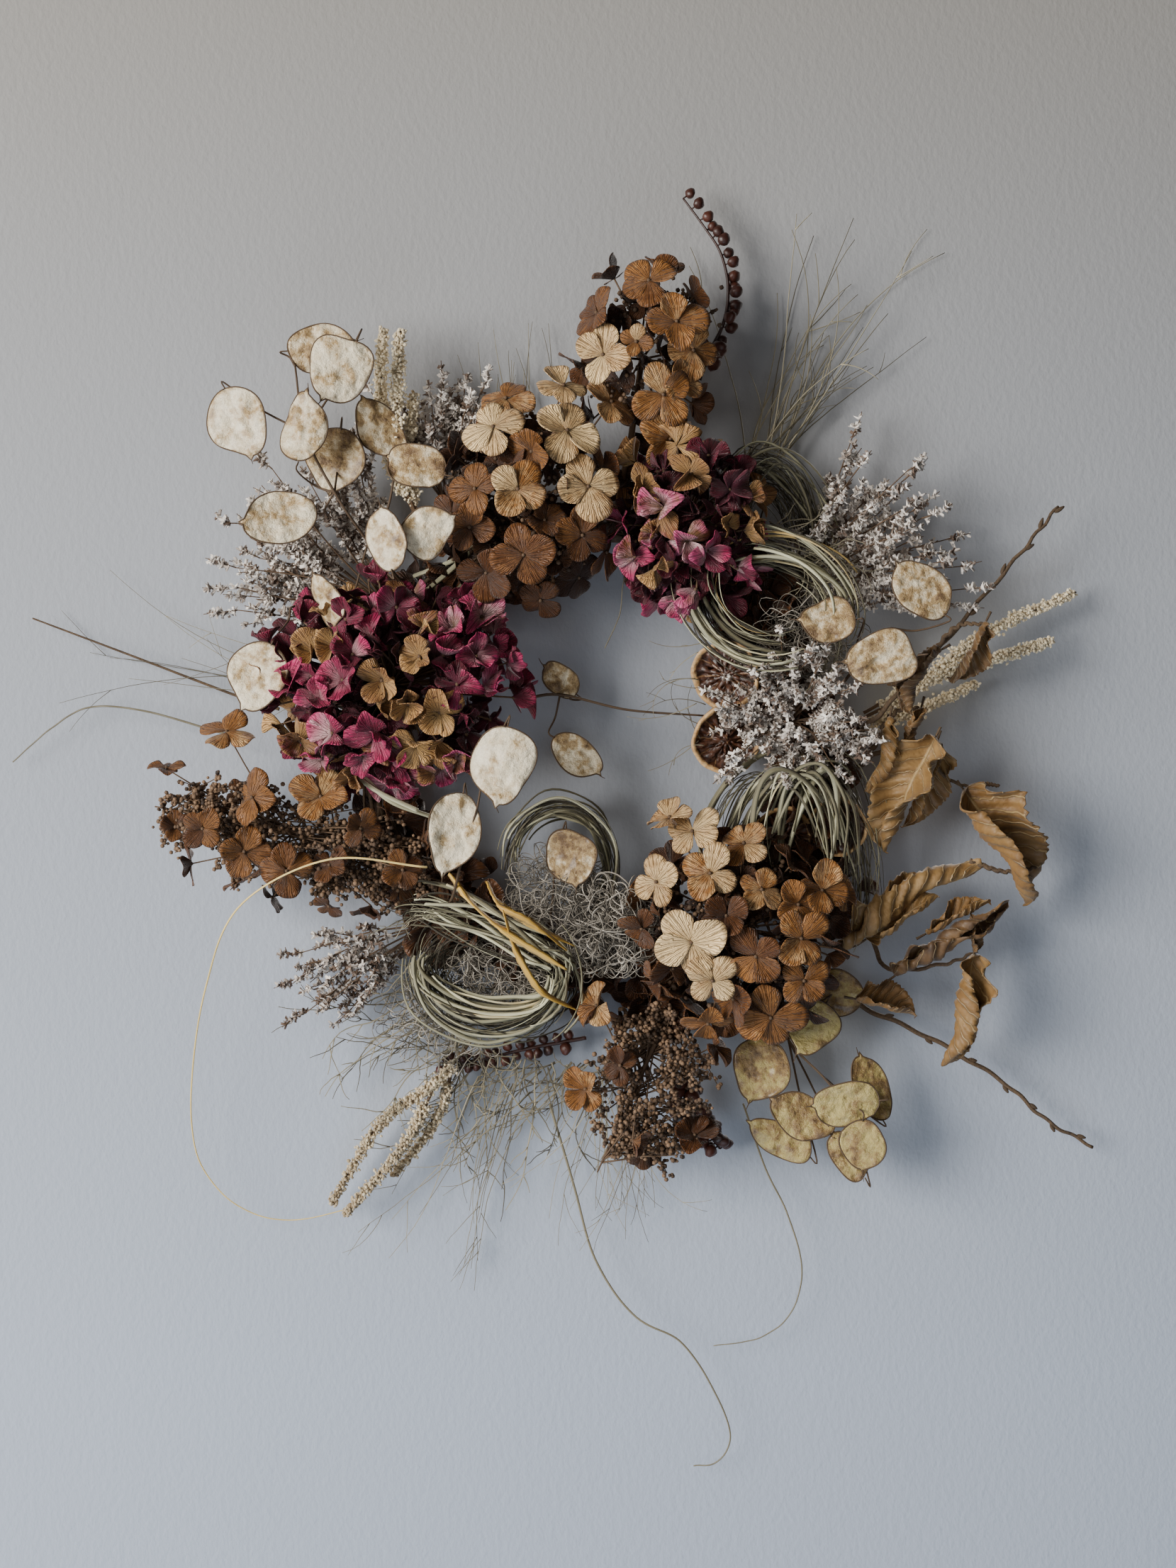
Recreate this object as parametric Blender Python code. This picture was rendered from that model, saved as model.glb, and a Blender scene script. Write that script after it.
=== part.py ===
"""A dried-flower door wreath: a ring of twisted vine rods with flower heads, grasses, pods and leaves tucked in.

Metres, +Z up, front facing -Y. The origin is the inside top of the wire loop, where the door's hook bears.
Places are given in millimetres as (across, up, off the door), counted from the middle of the ring.
"""

import math

import bmesh
import bpy
from mathutils import Matrix, Vector

MM = 0.001

# The vine ring
RING_RADIUS = 120
RING_OFF_DOOR = 9.8
ROD_COUNT = 4
ROD_RADIUS = 3.2
ROD_LAY = 4.85
ROD_TWISTS = 5
ROD_STEPS = 50
ROD_END_GAP = 5
BUNDLE_RADIUS = ROD_LAY + ROD_RADIUS
FRONT_OF_RING = 20.3

# The reel wire that binds the rods
WIRE_RADIUS = 0.5
WIRE_CLEARANCE = 0.55
WIRE_WRAP = BUNDLE_RADIUS + WIRE_RADIUS + WIRE_CLEARANCE
WIRE_TURNS = 2
WIRE_STEPS = 12
WIRE_PITCH = 1.8
WIRE_ANGLES = (18, 66, 128, 188, 246, 312)

# The hanging loop, which turns on the rods at the top of the ring
LOOP_WIRE = 0.8
LOOP_CLEARANCE = 0.55
LOOP_WRAP = BUNDLE_RADIUS + LOOP_WIRE + LOOP_CLEARANCE
LOOP_NECK = 7
LOOP_INSIDE = 7.5
LOOP_RISE = LOOP_WRAP + LOOP_NECK + 2 * LOOP_INSIDE + LOOP_WIRE
RING_DROP = RING_RADIUS + LOOP_RISE

# Stems and thin plates
HEAD_STALK = 2.5
SPRAY_STALK = 1.6
TWIG_RADIUS = 1.5
POD_HALF_THICK = 0.6
SLICE_HALF_THICK = 1.6
PLUME_FOOT = 3
PLUME_CROWN = 0.4
BLADE_RADIUS = 0.9
BLADE_TIP_RADIUS = 0.6

COLOURS = {
    "vine_bark": ((0.10, 0.060, 0.036), 0.85, 0.0),
    "reel_wire": ((0.20, 0.18, 0.15), 0.45, 1.0),
    "tan_petal": ((0.50, 0.30, 0.13), 0.75, 0.0),
    "burgundy_petal": ((0.30, 0.040, 0.11), 0.75, 0.0),
    "seed_brown": ((0.13, 0.070, 0.035), 0.85, 0.0),
    "grass_blade": ((0.42, 0.41, 0.26), 0.65, 0.0),
    "straw": ((0.58, 0.42, 0.16), 0.55, 0.0),
    "moss_fibre": ((0.42, 0.40, 0.36), 0.9, 0.0),
    "statice_white": ((0.62, 0.58, 0.54), 0.85, 0.0),
    "honesty_pod": ((0.74, 0.66, 0.50), 0.4, 0.0),
    "green_pod": ((0.45, 0.42, 0.20), 0.5, 0.0),
    "citrus_slice": ((0.35, 0.16, 0.05), 0.6, 0.0),
    "dry_leaf": ((0.35, 0.20, 0.070), 0.75, 0.0),
    "twig_bark": ((0.15, 0.11, 0.060), 0.8, 0.0),
    "catkin": ((0.58, 0.53, 0.40), 0.9, 0.0),
    "seed_pod_dark": ((0.070, 0.025, 0.020), 0.5, 0.0),
}


def clear_scene():
    for thing in list(bpy.data.objects):
        bpy.data.objects.remove(thing)


def spot(across, up, off_door):
    """The place of a point counted from the middle of the ring, in metres."""
    return Vector((across, RING_OFF_DOOR - off_door, up - RING_DROP)) * MM


def on_ring(angle, reach=RING_RADIUS, off_door=FRONT_OF_RING):
    """(across, up, off the door) of a point at an angle round the ring, in degrees from its right side."""
    turn = math.radians(angle)
    return (reach * math.cos(turn), reach * math.sin(turn), off_door)


def material(name):
    found = bpy.data.materials.get(name)
    if found:
        return found
    colour, roughness, metallic = COLOURS[name]
    made = bpy.data.materials.new(name)
    made.use_nodes = True
    surface = made.node_tree.nodes["Principled BSDF"]
    surface.inputs["Base Color"].default_value = (*colour, 1)
    surface.inputs["Roughness"].default_value = roughness
    surface.inputs["Metallic"].default_value = metallic
    made.diffuse_color = (*colour, 1)
    return made


def node(name, mesh, finish):
    """One named piece of the wreath, shaded smooth."""
    mesh.materials.clear()
    mesh.materials.append(material(finish))
    made = bpy.data.objects.new(name, mesh)
    bpy.context.scene.collection.objects.link(made)
    mesh.shade_smooth()
    mesh.set_sharp_from_angle(angle=math.radians(50))
    return made


def mesh_from(build):
    """A closed mesh made by a function that fills a bmesh."""
    shape = bmesh.new()
    build(shape)
    bmesh.ops.remove_doubles(shape, verts=shape.verts, dist=1e-6)
    bmesh.ops.recalc_face_normals(shape, faces=shape.faces)
    mesh = bpy.data.meshes.new("shape")
    shape.to_mesh(mesh)
    shape.free()
    return mesh


def tube(route, thick, end_thick=None, sides=6, smooth=3, straight=False):
    """A round stem through the places of a route, tapering from one radius to another."""
    curve = bpy.data.curves.new("route", "CURVE")
    curve.dimensions = "3D"
    curve.bevel_depth = MM
    curve.bevel_resolution = sides // 2 - 2
    curve.use_fill_caps = True
    curve.resolution_u = smooth
    line = curve.splines.new("POLY" if straight else "BEZIER")
    points = line.points if straight else line.bezier_points
    points.add(len(route) - 1)
    last = len(route) - 1
    end = thick if end_thick is None else end_thick
    for index, (point, place) in enumerate(zip(points, route)):
        where = spot(*place)
        point.co = (*where, 1) if straight else where
        point.radius = thick + (end - thick) * index / last
        if not straight:
            point.handle_left_type = "AUTO"
            point.handle_right_type = "AUTO"
    guide = bpy.data.objects.new("route", curve)
    bpy.context.scene.collection.objects.link(guide)
    bpy.context.view_layer.update()
    swept = bpy.data.meshes.new_from_object(guide.evaluated_get(bpy.context.evaluated_depsgraph_get()))
    bpy.data.objects.remove(guide)
    return mesh_from(lambda shape: shape.from_mesh(swept))


def placed(place, size, lean=0, yaw=0, pitch=0):
    """The matrix that scales a unit shape and stands it at a place: lean turns it in the ring's plane."""
    turn = (
        Matrix.Rotation(math.radians(-lean), 4, "Y")
        @ Matrix.Rotation(math.radians(yaw), 4, "Z")
        @ Matrix.Rotation(math.radians(pitch), 4, "X")
    )
    across, up, deep = size
    return Matrix.Translation(spot(*place)) @ turn @ Matrix.Diagonal((across * MM, deep * MM, up * MM, 1))


def blob(place, size, lean=0, round_steps=14, rise_steps=9):
    """A rounded mass with half-sizes (across, up, deep)."""
    where = placed(place, size, lean)
    return mesh_from(
        lambda shape: bmesh.ops.create_uvsphere(
            shape, u_segments=round_steps, v_segments=rise_steps, radius=1, matrix=where
        )
    )


def disc(place, size, lean=0, yaw=0, sides=12):
    """A thin oval plate that faces the front, with half-sizes (across, up, deep)."""
    flat = placed(place, size, lean, yaw) @ Matrix.Rotation(math.pi / 2, 4, "X")
    return mesh_from(
        lambda shape: bmesh.ops.create_cone(
            shape, cap_ends=True, segments=sides, radius1=1, radius2=1, depth=2, matrix=flat
        )
    )


def ring(place, size, thick, lean=0, yaw=0, pitch=0, start=0, sweep=360, steps=20, sides=7):
    """A hoop, or an arc of one, with half-sizes (across, up) and a round section."""
    turn = placed((0, 0, 0), (1, 1, 1), lean, yaw, pitch).to_3x3() * 1000
    middle = Vector(place)
    whole = sweep == 360
    centres = []
    for step in range(steps if whole else steps + 1):
        angle = math.radians(start + sweep * step / steps)
        arm = turn @ Vector((size[0] * math.cos(angle), 0, size[1] * math.sin(angle)))
        centres.append((middle + Vector((arm.x, arm.z, -arm.y)), (arm.x, arm.z, -arm.y)))

    def build(shape):
        loops = []
        for centre, arm in centres:
            out = Vector(arm).normalized()
            side = (turn @ Vector((0, 1, 0))).normalized()
            across = Vector((side.x, side.z, -side.y))
            loop = []
            for index in range(sides):
                round_angle = math.tau * index / sides
                reach = out * math.cos(round_angle) + across * math.sin(round_angle)
                loop.append(shape.verts.new(spot(*(centre + reach * thick))))
            loops.append(loop)
        pairs = list(zip(loops, loops[1:] + loops[:1])) if whole else list(zip(loops, loops[1:]))
        for first, second in pairs:
            for index in range(sides):
                after = (index + 1) % sides
                shape.faces.new((first[index], first[after], second[after], second[index]))
        if not whole:
            shape.faces.new(loops[0])
            shape.faces.new(reversed(loops[-1]))

    return mesh_from(build)


def joined(meshes):
    """Several overlapping shapes made one solid."""
    whole = bpy.data.objects.new("whole", meshes[0])
    bpy.context.scene.collection.objects.link(whole)
    for mesh in meshes[1:]:
        part = bpy.data.objects.new("part", mesh)
        bpy.context.scene.collection.objects.link(part)
        union = whole.modifiers.new("union", "BOOLEAN")
        union.operation = "UNION"
        union.solver = "EXACT"
        union.object = part
        bpy.context.view_layer.update()
        graph = bpy.context.evaluated_depsgraph_get()
        merged = bpy.data.meshes.new_from_object(whole.evaluated_get(graph))
        whole.modifiers.remove(union)
        whole.data = merged
        bpy.data.objects.remove(part)
    mesh = whole.data
    bpy.data.objects.remove(whole)
    return mesh


def vine_rods():
    """Rods wound round each other, each with its two ends nearly meeting."""
    gap = ROD_END_GAP / RING_RADIUS
    for number in range(ROD_COUNT):
        quarter = math.tau * number / ROD_COUNT
        route = []
        for step in range(ROD_STEPS + 1):
            angle = quarter + gap + (math.tau - 2 * gap) * step / ROD_STEPS
            lay = ROD_TWISTS * angle + quarter
            route.append(
                on_ring(
                    math.degrees(angle),
                    RING_RADIUS + ROD_LAY * math.cos(lay),
                    RING_OFF_DOOR + ROD_LAY * math.sin(lay),
                )
            )
        node(f"vine_rod_{number + 1}", tube(route, ROD_RADIUS, straight=True), "vine_bark")


def binding_wires():
    """Coils of reel wire round the rods."""
    for number, middle in enumerate(WIRE_ANGLES):
        route = []
        for step in range(WIRE_TURNS * WIRE_STEPS + 1):
            turn = math.tau * step / WIRE_STEPS
            along = WIRE_PITCH * (step / WIRE_STEPS - WIRE_TURNS / 2)
            route.append(
                on_ring(
                    middle + math.degrees(along / RING_RADIUS),
                    RING_RADIUS + WIRE_WRAP * math.cos(turn),
                    RING_OFF_DOOR + WIRE_WRAP * math.sin(turn),
                )
            )
        node(f"binding_wire_{number + 1}", tube(route, WIRE_RADIUS, sides=4, straight=True), "reel_wire")


def hanging_loop():
    """Wire wrapped loosely round the rods at the top, a twisted neck, and the loop that the hook goes through."""
    wrap = ring((0, RING_RADIUS, RING_OFF_DOOR), (LOOP_WRAP, LOOP_WRAP), LOOP_WIRE, yaw=90, steps=18, sides=6)
    foot = RING_RADIUS + LOOP_WRAP
    top = foot + LOOP_NECK
    neck = tube(
        [(0, foot - LOOP_WIRE / 2, RING_OFF_DOOR), (0, top + LOOP_WIRE / 2, RING_OFF_DOOR)],
        1.5 * LOOP_WIRE,
        straight=True,
    )
    inside = LOOP_INSIDE + LOOP_WIRE
    eye = ring((0, top + inside, RING_OFF_DOOR), (inside, inside), LOOP_WIRE, steps=18, sides=6)
    node("hanger_loop", joined([wrap, neck, eye]), "reel_wire")


def flower_head(name, finish, place, size, lean=0):
    """A rounded flower head whose stalk ends on the front of the ring."""
    foot = on_ring(math.degrees(math.atan2(place[1], place[0])))
    node(name, joined([blob(place, size, lean), tube([place, foot], HEAD_STALK, straight=True)]), finish)


def flower_heads():
    flower_head("hydrangea_tan_top", "tan_petal", (-34, 128, 51), (46, 52, 29))
    flower_head("hydrangea_tan_crown", "tan_petal", (30, 210, 44), (34, 46, 27), lean=-12)
    flower_head("hydrangea_burgundy_left", "burgundy_petal", (-106, 32, 55), (61, 50, 33))
    flower_head("hydrangea_burgundy_right", "burgundy_petal", (50, 120, 48), (33, 40, 27))
    flower_head("hydrangea_panicle_left", "seed_brown", (-154, -53, 46), (82, 31, 24), lean=-13)
    flower_head("hydrangea_tan_lower", "tan_petal", (80, -101, 54), (54, 49, 32))
    flower_head("hydrangea_seed_panicle", "seed_brown", (30, -181, 42), (38, 47, 26))


def grass_coils():
    """Coils of long grass blades, wound in loops."""
    node("grass_coil_nest", ring((-49, -126, 42), (33, 31), 11, pitch=-8), "grass_blade")
    node("grass_coil_arch", ring((-9, -62, 32), (26, 26), 5.5, start=0, sweep=180, steps=12), "grass_blade")
    node("grass_coil_upper", ring((109, 133, 30), (14, 28), 7, lean=14, steps=18), "grass_blade")
    node("grass_coil_right", ring((96, 66, 40), (24, 22), 9.5), "grass_blade")
    node("grass_coil_lower", ring((117, -35, 43), (25, 13), 8), "grass_blade")
    ribbons = [
        tube([(-72, -64, 68), (-45, -86, 72), (-10, -116, 66)], 2.4),
        tube([(-55, -68, 70), (-45, -86, 72), (-38, -120, 68), (-4, -138, 62)], 2.4),
    ]
    node("straw_ribbon", joined(ribbons), "straw")


def moss_tufts():
    node("moss_tuft", blob((7, -92, 40), (17, 24, 17)), "moss_fibre")
    node("moss_tuft_nest", blob((-49, -126, 27), (20, 18, 5.5)), "moss_fibre")


def spray(name, place, size, foot, lean=0):
    """A flat bushy spray of small flowers on a wiry stalk."""
    node(name, joined([blob(place, size, lean), tube([place, foot], SPRAY_STALK, straight=True)]), "statice_white")


def statice_sprays():
    spray("statice_left", (-174, 106, 22), (40, 44, 17), on_ring(146, 132, 18))
    spray("statice_crown", (-82, 178, 16), (16, 34, 10), on_ring(118, 133, 14))
    spray("statice_right", (166, 100, 20), (40, 34, 16), on_ring(30, 133, 16))
    spray("statice_middle", (106, 9, 49), (41, 21, 20), on_ring(6))
    spray("statice_lower_left", (-122, -126, 18), (40, 20, 14), on_ring(232, 134, 14), lean=-32)


def pod_branch(name, finish, stems, pods):
    """Stems with thin oval pods. Each pod is (fork on a stem, place, half width, half height, lean, yaw)."""
    parts = [tube(route, 1.1, 0.8, sides=4, smooth=2) for route in stems]
    for fork, place, wide, high, lean, yaw in pods:
        parts.append(tube([fork, place], 0.9, 0.7, sides=4, straight=True))
        parts.append(disc(place, (wide, high, POD_HALF_THICK), lean, yaw))
    node(name, joined(parts), finish)


def honesty_branches():
    """Honesty, with its papery pods in front of the flower heads."""
    pod_branch(
        "honesty_branch_upper",
        "honesty_pod",
        [
            [(-99, 85, 21), (-118, 108, 46), (-134, 132, 62), (-150, 164, 58), (-156, 200, 52)],
            [(-118, 108, 46), (-108, 124, 48), (-104, 141, 49)],
        ],
        [
            ((-156, 200, 52), (-143, 211, 50), 16, 12, 10, 8),
            ((-150, 164, 58), (-131, 196, 64), 18, 16, 25, -6),
            ((-150, 164, 58), (-185, 169, 58), 17, 16, 0, 12),
            ((-134, 132, 62), (-149, 163, 70), 12, 18, 12, -10),
            ((-134, 132, 62), (-133, 151, 52), 15, 16, 0, 8),
            ((-104, 141, 49), (-112, 170, 46), 13, 17, 20, 16),
            ((-104, 141, 49), (-91, 146, 54), 15, 12, -20, 10),
            ((-134, 132, 62), (-164, 118, 62), 18, 14, -12, 6),
            ((-118, 108, 46), (-104, 103, 90), 12, 15, 5, -14),
            ((-118, 108, 46), (-82, 109, 88), 14, 13, 0, 10),
            ((-118, 108, 46), (-137, 84, 74), 11, 14, 18, -20),
        ],
    )
    pod_branch(
        "honesty_branch_left",
        "honesty_pod",
        [[(-128, 72, 21), (-162, 80, 46), (-184, 62, 62)]],
        [((-184, 62, 62), (-176, 35, 74), 16, 17, 0, 8)],
    )
    pod_branch(
        "honesty_branch_centre",
        "honesty_pod",
        [[(-80, -90, 21), (-72, -80, 60), (-66, -60, 82), (-58, -34, 86)]],
        [
            ((-58, -34, 86), (-45, -11, 84), 16, 20, -6, 8),
            ((-66, -60, 82), (-71, -46, 84), 13, 21, -8, -8),
        ],
    )
    pod_branch(
        "honesty_sprig_arch",
        "honesty_pod",
        [[(-22, -98, 22), (-20, -84, 44)]],
        [((-20, -84, 44), (-10, -60, 47), 14, 14, 0, 8)],
    )
    pod_branch(
        "honesty_sprig_opening",
        "honesty_pod",
        [[(-38, 24, 38), (-16, 27, 36), (20, 19, 33), (62, 16, 27)]],
        [
            ((-16, 27, 36), (-16, 34, 36), 12, 8, -30, 10),
            ((-16, 27, 36), (-7, -5, 38), 14, 10, -28, -12),
        ],
    )
    pod_branch(
        "honesty_branch_right",
        "honesty_pod",
        [[(132, 26, 20), (144, 44, 42), (160, 62, 46)]],
        [
            ((160, 62, 46), (175, 82, 52), 18, 13, -38, 10),
            ((144, 44, 42), (125, 65, 60), 14, 11, 8, 8),
            ((144, 44, 42), (151, 44, 74), 19, 14, -8, -6),
        ],
    )
    pod_branch(
        "honesty_branch_lower",
        "green_pod",
        [
            [(96, -96, 20), (102, -112, 12), (104, -138, 14), (108, -160, 22), (125, -178, 34), (136, -191, 40)],
        ],
        [
            ((104, -138, 14), (131, -134, 28), 16, 13, -20, -8),
            ((108, -160, 22), (119, -153, 39), 13, 14, 0, 10),
            ((108, -160, 22), (91, -175, 33), 15, 17, 10, 6),
            ((108, -160, 22), (113, -200, 36), 17, 12, -32, 8),
            ((136, -191, 40), (136, -191, 44), 17, 13, -10, -8),
            ((125, -178, 34), (152, -184, 31), 10, 18, -24, 10),
            ((136, -191, 40), (144, -214, 46), 12, 12, 0, 8),
            ((108, -160, 22), (102, -214, 29), 17, 10, -38, -6),
        ],
    )


def citrus_slices():
    """Dried citrus slices wired to the inner side of the ring."""
    slices = [
        ((76, 38, 23), 17.5, 10, -14),
        ((80, -1, 23), 18, -6, 10),
        ((104, -50, 27), 17, 20, 12),
        ((136, -44, 28), 16, -12, -10),
    ]
    for number, (place, reach, lean, yaw) in enumerate(slices):
        size = (reach, reach, SLICE_HALF_THICK)
        node(f"citrus_slice_{number + 1}", disc(place, size, lean, yaw, sides=14), "citrus_slice")


def leafy_twig(name, stems, leaves):
    """A twig with curled leaves. Each leaf is (place, half width, half length, half depth, lean)."""
    parts = [tube(route, TWIG_RADIUS, 0.7 * TWIG_RADIUS, smooth=2) for route in stems]
    for place, wide, long, deep, lean in leaves:
        parts.append(blob(place, (wide, long, deep), lean, round_steps=8, rise_steps=6))
    node(name, joined(parts), "dry_leaf")


def leafy_twigs():
    leafy_twig(
        "leaf_twig_upper",
        [
            [(131, -6, 16), (160, 22, 44), (190, 56, 44), (222, 92, 36), (253, 129, 30)],
            [(178, 42, 44), (203, 52, 50)],
        ],
        [((171, 36, 46), 12, 12, 7, 30), ((204, 51, 50), 7, 16, 6, -14)],
    )
    leafy_twig(
        "leaf_twig_middle",
        [
            [(133, -22, 12), (156, -4, 30), (180, -18, 40), (205, -26, 36), (214, -50, 34)],
            [(156, -4, 30), (157, -10, 40)],
        ],
        [
            ((158, -10, 43), 7, 15, 6, 8),
            ((176, -26, 39), 11, 28, 7, -28),
            ((216, -54, 34), 17, 34, 8, 28),
        ],
    )
    leafy_twig(
        "leaf_twig_lower",
        [
            [(134, -88, 12), (150, -96, 26), (172, -86, 34), (190, -74, 36)],
            [(150, -96, 26), (170, -120, 30), (192, -104, 32), (202, -112, 32), (198, -148, 34)],
            [(170, -120, 30), (164, -134, 32)],
        ],
        [
            ((168, -88, 38), 11, 34, 8, -58),
            ((190, -106, 32), 9, 38, 7, -52),
            ((201, -146, 36), 12, 34, 8, -10),
            ((163, -136, 34), 15, 11, 6, -10),
        ],
    )
    node(
        "bare_twig_lower",
        tube([(124, -122, 12), (146, -141, 12), (186, -160, 14), (226, -184, 14), (277, -221, 12)], 1.8, 1.2),
        "twig_bark",
    )


def spikes(name, finish, routes, thick, end_thick):
    """Slim flower or seed spikes that share a stalk."""
    node(name, joined([tube(route, thick, end_thick, sides=6, smooth=2) for route in routes]), finish)


def slim_spikes():
    spikes(
        "catkin_upper",
        "catkin",
        [
            [(-93, 122, 25), (-106, 150, 34), (-111, 223, 36)],
            [(-93, 122, 25), (-104, 150, 36), (-102, 221, 40)],
            [(-93, 122, 25), (-98, 150, 34), (-97, 188, 34)],
        ],
        3.4,
        2.6,
    )
    spikes(
        "catkin_lower",
        "catkin",
        [
            [(-70, -166, 20), (-90, -186, 20), (-118, -206, 18), (-140, -246, 14)],
            [(-90, -186, 20), (-106, -212, 24), (-144, -254, 20)],
        ],
        3.2,
        2.6,
    )
    spikes(
        "catkin_right",
        "catkin",
        [
            [(140, 10, 14), (176, 30, 20), (214, 62, 16), (263, 82, 10)],
            [(176, 30, 20), (216, 46, 24), (251, 55, 20)],
            [(140, 10, 14), (180, 18, 14), (209, 31, 12)],
        ],
        3.4,
        2.4,
    )
    spikes(
        "seed_spike_top",
        "seed_pod_dark",
        [[(64, 204, 14), (80, 230, 18), (80, 262, 18), (68, 283, 18), (54, 300, 16)]],
        4.4,
        3.2,
    )
    spikes("seed_spike_bottom", "seed_pod_dark", [[(72, -158, 16), (60, -196, 14), (71, -221, 20)]], 3.2, 3.8)
    spikes("seed_spike_left", "seed_pod_dark", [[(-4, -146, 16), (-34, -172, 14), (-81, -176, 14)]], 3.0, 2.6)


def plume(name, foot, tip, spread, thick=2.5):
    """A flat fan of hair-fine stems, narrow at its foot and wide at its tip."""
    root, end = Vector(foot), Vector(tip)
    run = (end - root).normalized()
    side = Vector((-run.y, run.x, 0)).normalized()

    def build(shape):
        corners = [
            root - side * PLUME_FOOT,
            end - side * spread,
            end + run * spread * PLUME_CROWN,
            end + side * spread,
            root + side * PLUME_FOOT,
        ]
        backs = [shape.verts.new(spot(c.x, c.y, c.z - thick)) for c in corners]
        fronts = [shape.verts.new(spot(c.x, c.y, c.z + thick)) for c in corners]
        shape.faces.new(backs)
        shape.faces.new(reversed(fronts))
        for index in range(len(corners)):
            after = (index + 1) % len(corners)
            shape.faces.new((backs[index], fronts[index], fronts[after], backs[after]))

    node(name, mesh_from(build), "grass_blade")


def fine_grasses():
    plume("grass_plume_top", (80, 170, 6), (124, 250, 6), 32)
    plume("grass_plume_left", (-72, -150, 4), (-112, -204, 4), 24, thick=1.8)
    plume("grass_plume_bottom", (-16, -160, 6), (0, -250, 6), 42, thick=2.5)
    blades = [
        [(-22, -196, 14), (-9, -240, 14), (3, -281, 16), (24, -311, 18), (50, -326, 18), (68, -353, 16), (77, -378, 14),
         (70, -393, 12), (57, -396, 10)],
        [(84, -196, 14), (96, -231, 16), (108, -256, 16), (116, -286, 16), (110, -311, 14), (93, -325, 12),
         (68, -330, 10)],
        [(-84, -64, 78), (-135, -60, 80), (-182, -84, 68), (-204, -126, 44), (-215, -181, 30), (-213, -223, 24),
         (-194, -250, 18), (-165, -260, 14), (-127, -253, 12)],
        [(-205, 8, 16), (-244, 19, 14), (-274, 21, 14), (-295, 10, 12), (-318, -9, 8)],
        [(-190, 26, 12), (-253, 50, 12), (-306, 70, 12)],
    ]
    for number, route in enumerate(blades):
        node(f"grass_blade_{number + 1}", tube(route, BLADE_RADIUS, BLADE_TIP_RADIUS, sides=4), "grass_blade")


clear_scene()
vine_rods()
binding_wires()
hanging_loop()
flower_heads()
grass_coils()
moss_tufts()
statice_sprays()
honesty_branches()
citrus_slices()
leafy_twigs()
slim_spikes()
fine_grasses()
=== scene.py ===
"""Harvest door wreath: dried flower heads, grasses, pods and leaves tied to a ring of twisted vine rods.

Run as a script. Each piece or group of like pieces has its own operator, and the sidebar panel lists them.
Shapes are worked out in millimetres as (across, up, off the door), counted from the middle of the ring.
"""

import math

import bpy
import numpy as np
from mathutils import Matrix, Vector


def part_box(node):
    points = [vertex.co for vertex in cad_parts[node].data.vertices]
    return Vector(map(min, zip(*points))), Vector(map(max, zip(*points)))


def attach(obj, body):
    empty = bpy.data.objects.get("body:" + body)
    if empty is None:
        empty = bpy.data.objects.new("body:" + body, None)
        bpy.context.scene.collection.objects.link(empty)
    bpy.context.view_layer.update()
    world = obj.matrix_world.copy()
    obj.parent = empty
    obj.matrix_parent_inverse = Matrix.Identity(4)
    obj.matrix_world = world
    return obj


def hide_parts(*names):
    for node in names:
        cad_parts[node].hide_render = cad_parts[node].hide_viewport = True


bl_info = {
    "name": "Harvest Door Wreath",
    "version": (1, 0, 0),
    "blender": (4, 5, 0),
    "location": "View3D > Sidebar > Wreath",
    "description": "Builds the dried materials of a harvest door wreath around its vine ring",
    "category": "Add Mesh",
}

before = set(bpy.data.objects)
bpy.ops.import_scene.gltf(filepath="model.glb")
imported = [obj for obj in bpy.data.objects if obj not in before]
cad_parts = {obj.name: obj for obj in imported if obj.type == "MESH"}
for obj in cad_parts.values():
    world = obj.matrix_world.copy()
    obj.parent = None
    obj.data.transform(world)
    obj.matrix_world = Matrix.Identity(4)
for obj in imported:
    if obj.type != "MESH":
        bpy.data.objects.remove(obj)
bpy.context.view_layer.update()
MM = 0.001
BODY = "wreath"
LOOP_BODY = "hanging_loop"

# The ring, read from the frame
RODS = [f"vine_rod_{number}" for number in range(1, 5)]
RING_LOW = [min(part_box(rod)[0][axis] for rod in RODS) for axis in range(3)]
RING_HIGH = [max(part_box(rod)[1][axis] for rod in RODS) for axis in range(3)]
MIDDLE = [(low + high) / 2 for low, high in zip(RING_LOW, RING_HIGH)]
BUNDLE = (RING_HIGH[1] - RING_LOW[1]) / 2 / MM
RING_RADIUS = (RING_HIGH[0] - RING_LOW[0]) / 2 / MM - BUNDLE
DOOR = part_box("binding_wire_1")[1][1]
RING_OFF = (DOOR - MIDDLE[1]) / MM

# How the rods are laid
ROD_THICK = 6.2
ROD_LAY = 4.85
ROD_TWISTS = 5

# What comes nearer to the door than this is pressed flat to it
PRESSED = 3
# Stems and twigs keep this far off the door
CLEARANCE = 1.5

# Where the seven flower heads sit: place, half-sizes (across, up, deep) and lean, as the ring carries them
HEADS = {
    "hydrangea_tan_top": ((-34, 128, 51), (48, 54, 31), 0),
    "hydrangea_tan_crown": ((28, 208, 44), (35, 46, 27), -12),
    "hydrangea_tan_lower": ((80, -98, 54), (56, 52, 32), 0),
    "hydrangea_burgundy_left": ((-106, 32, 55), (64, 53, 33), 0),
    "hydrangea_burgundy_right": ((52, 118, 48), (36, 44, 27), 0),
    "hydrangea_panicle_left": ((-154, -52, 46), (84, 33, 24), -13),
    "hydrangea_seed_panicle": ((32, -182, 42), (38, 48, 26), 12),
}


# ---------------------------------------------------------------- shapes


class Shape:
    """Points, faces and texture places of a small piece that is repeated."""

    def __init__(self, points, faces, uvs):
        self.points, self.faces, self.uvs = points, faces, uvs


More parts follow.
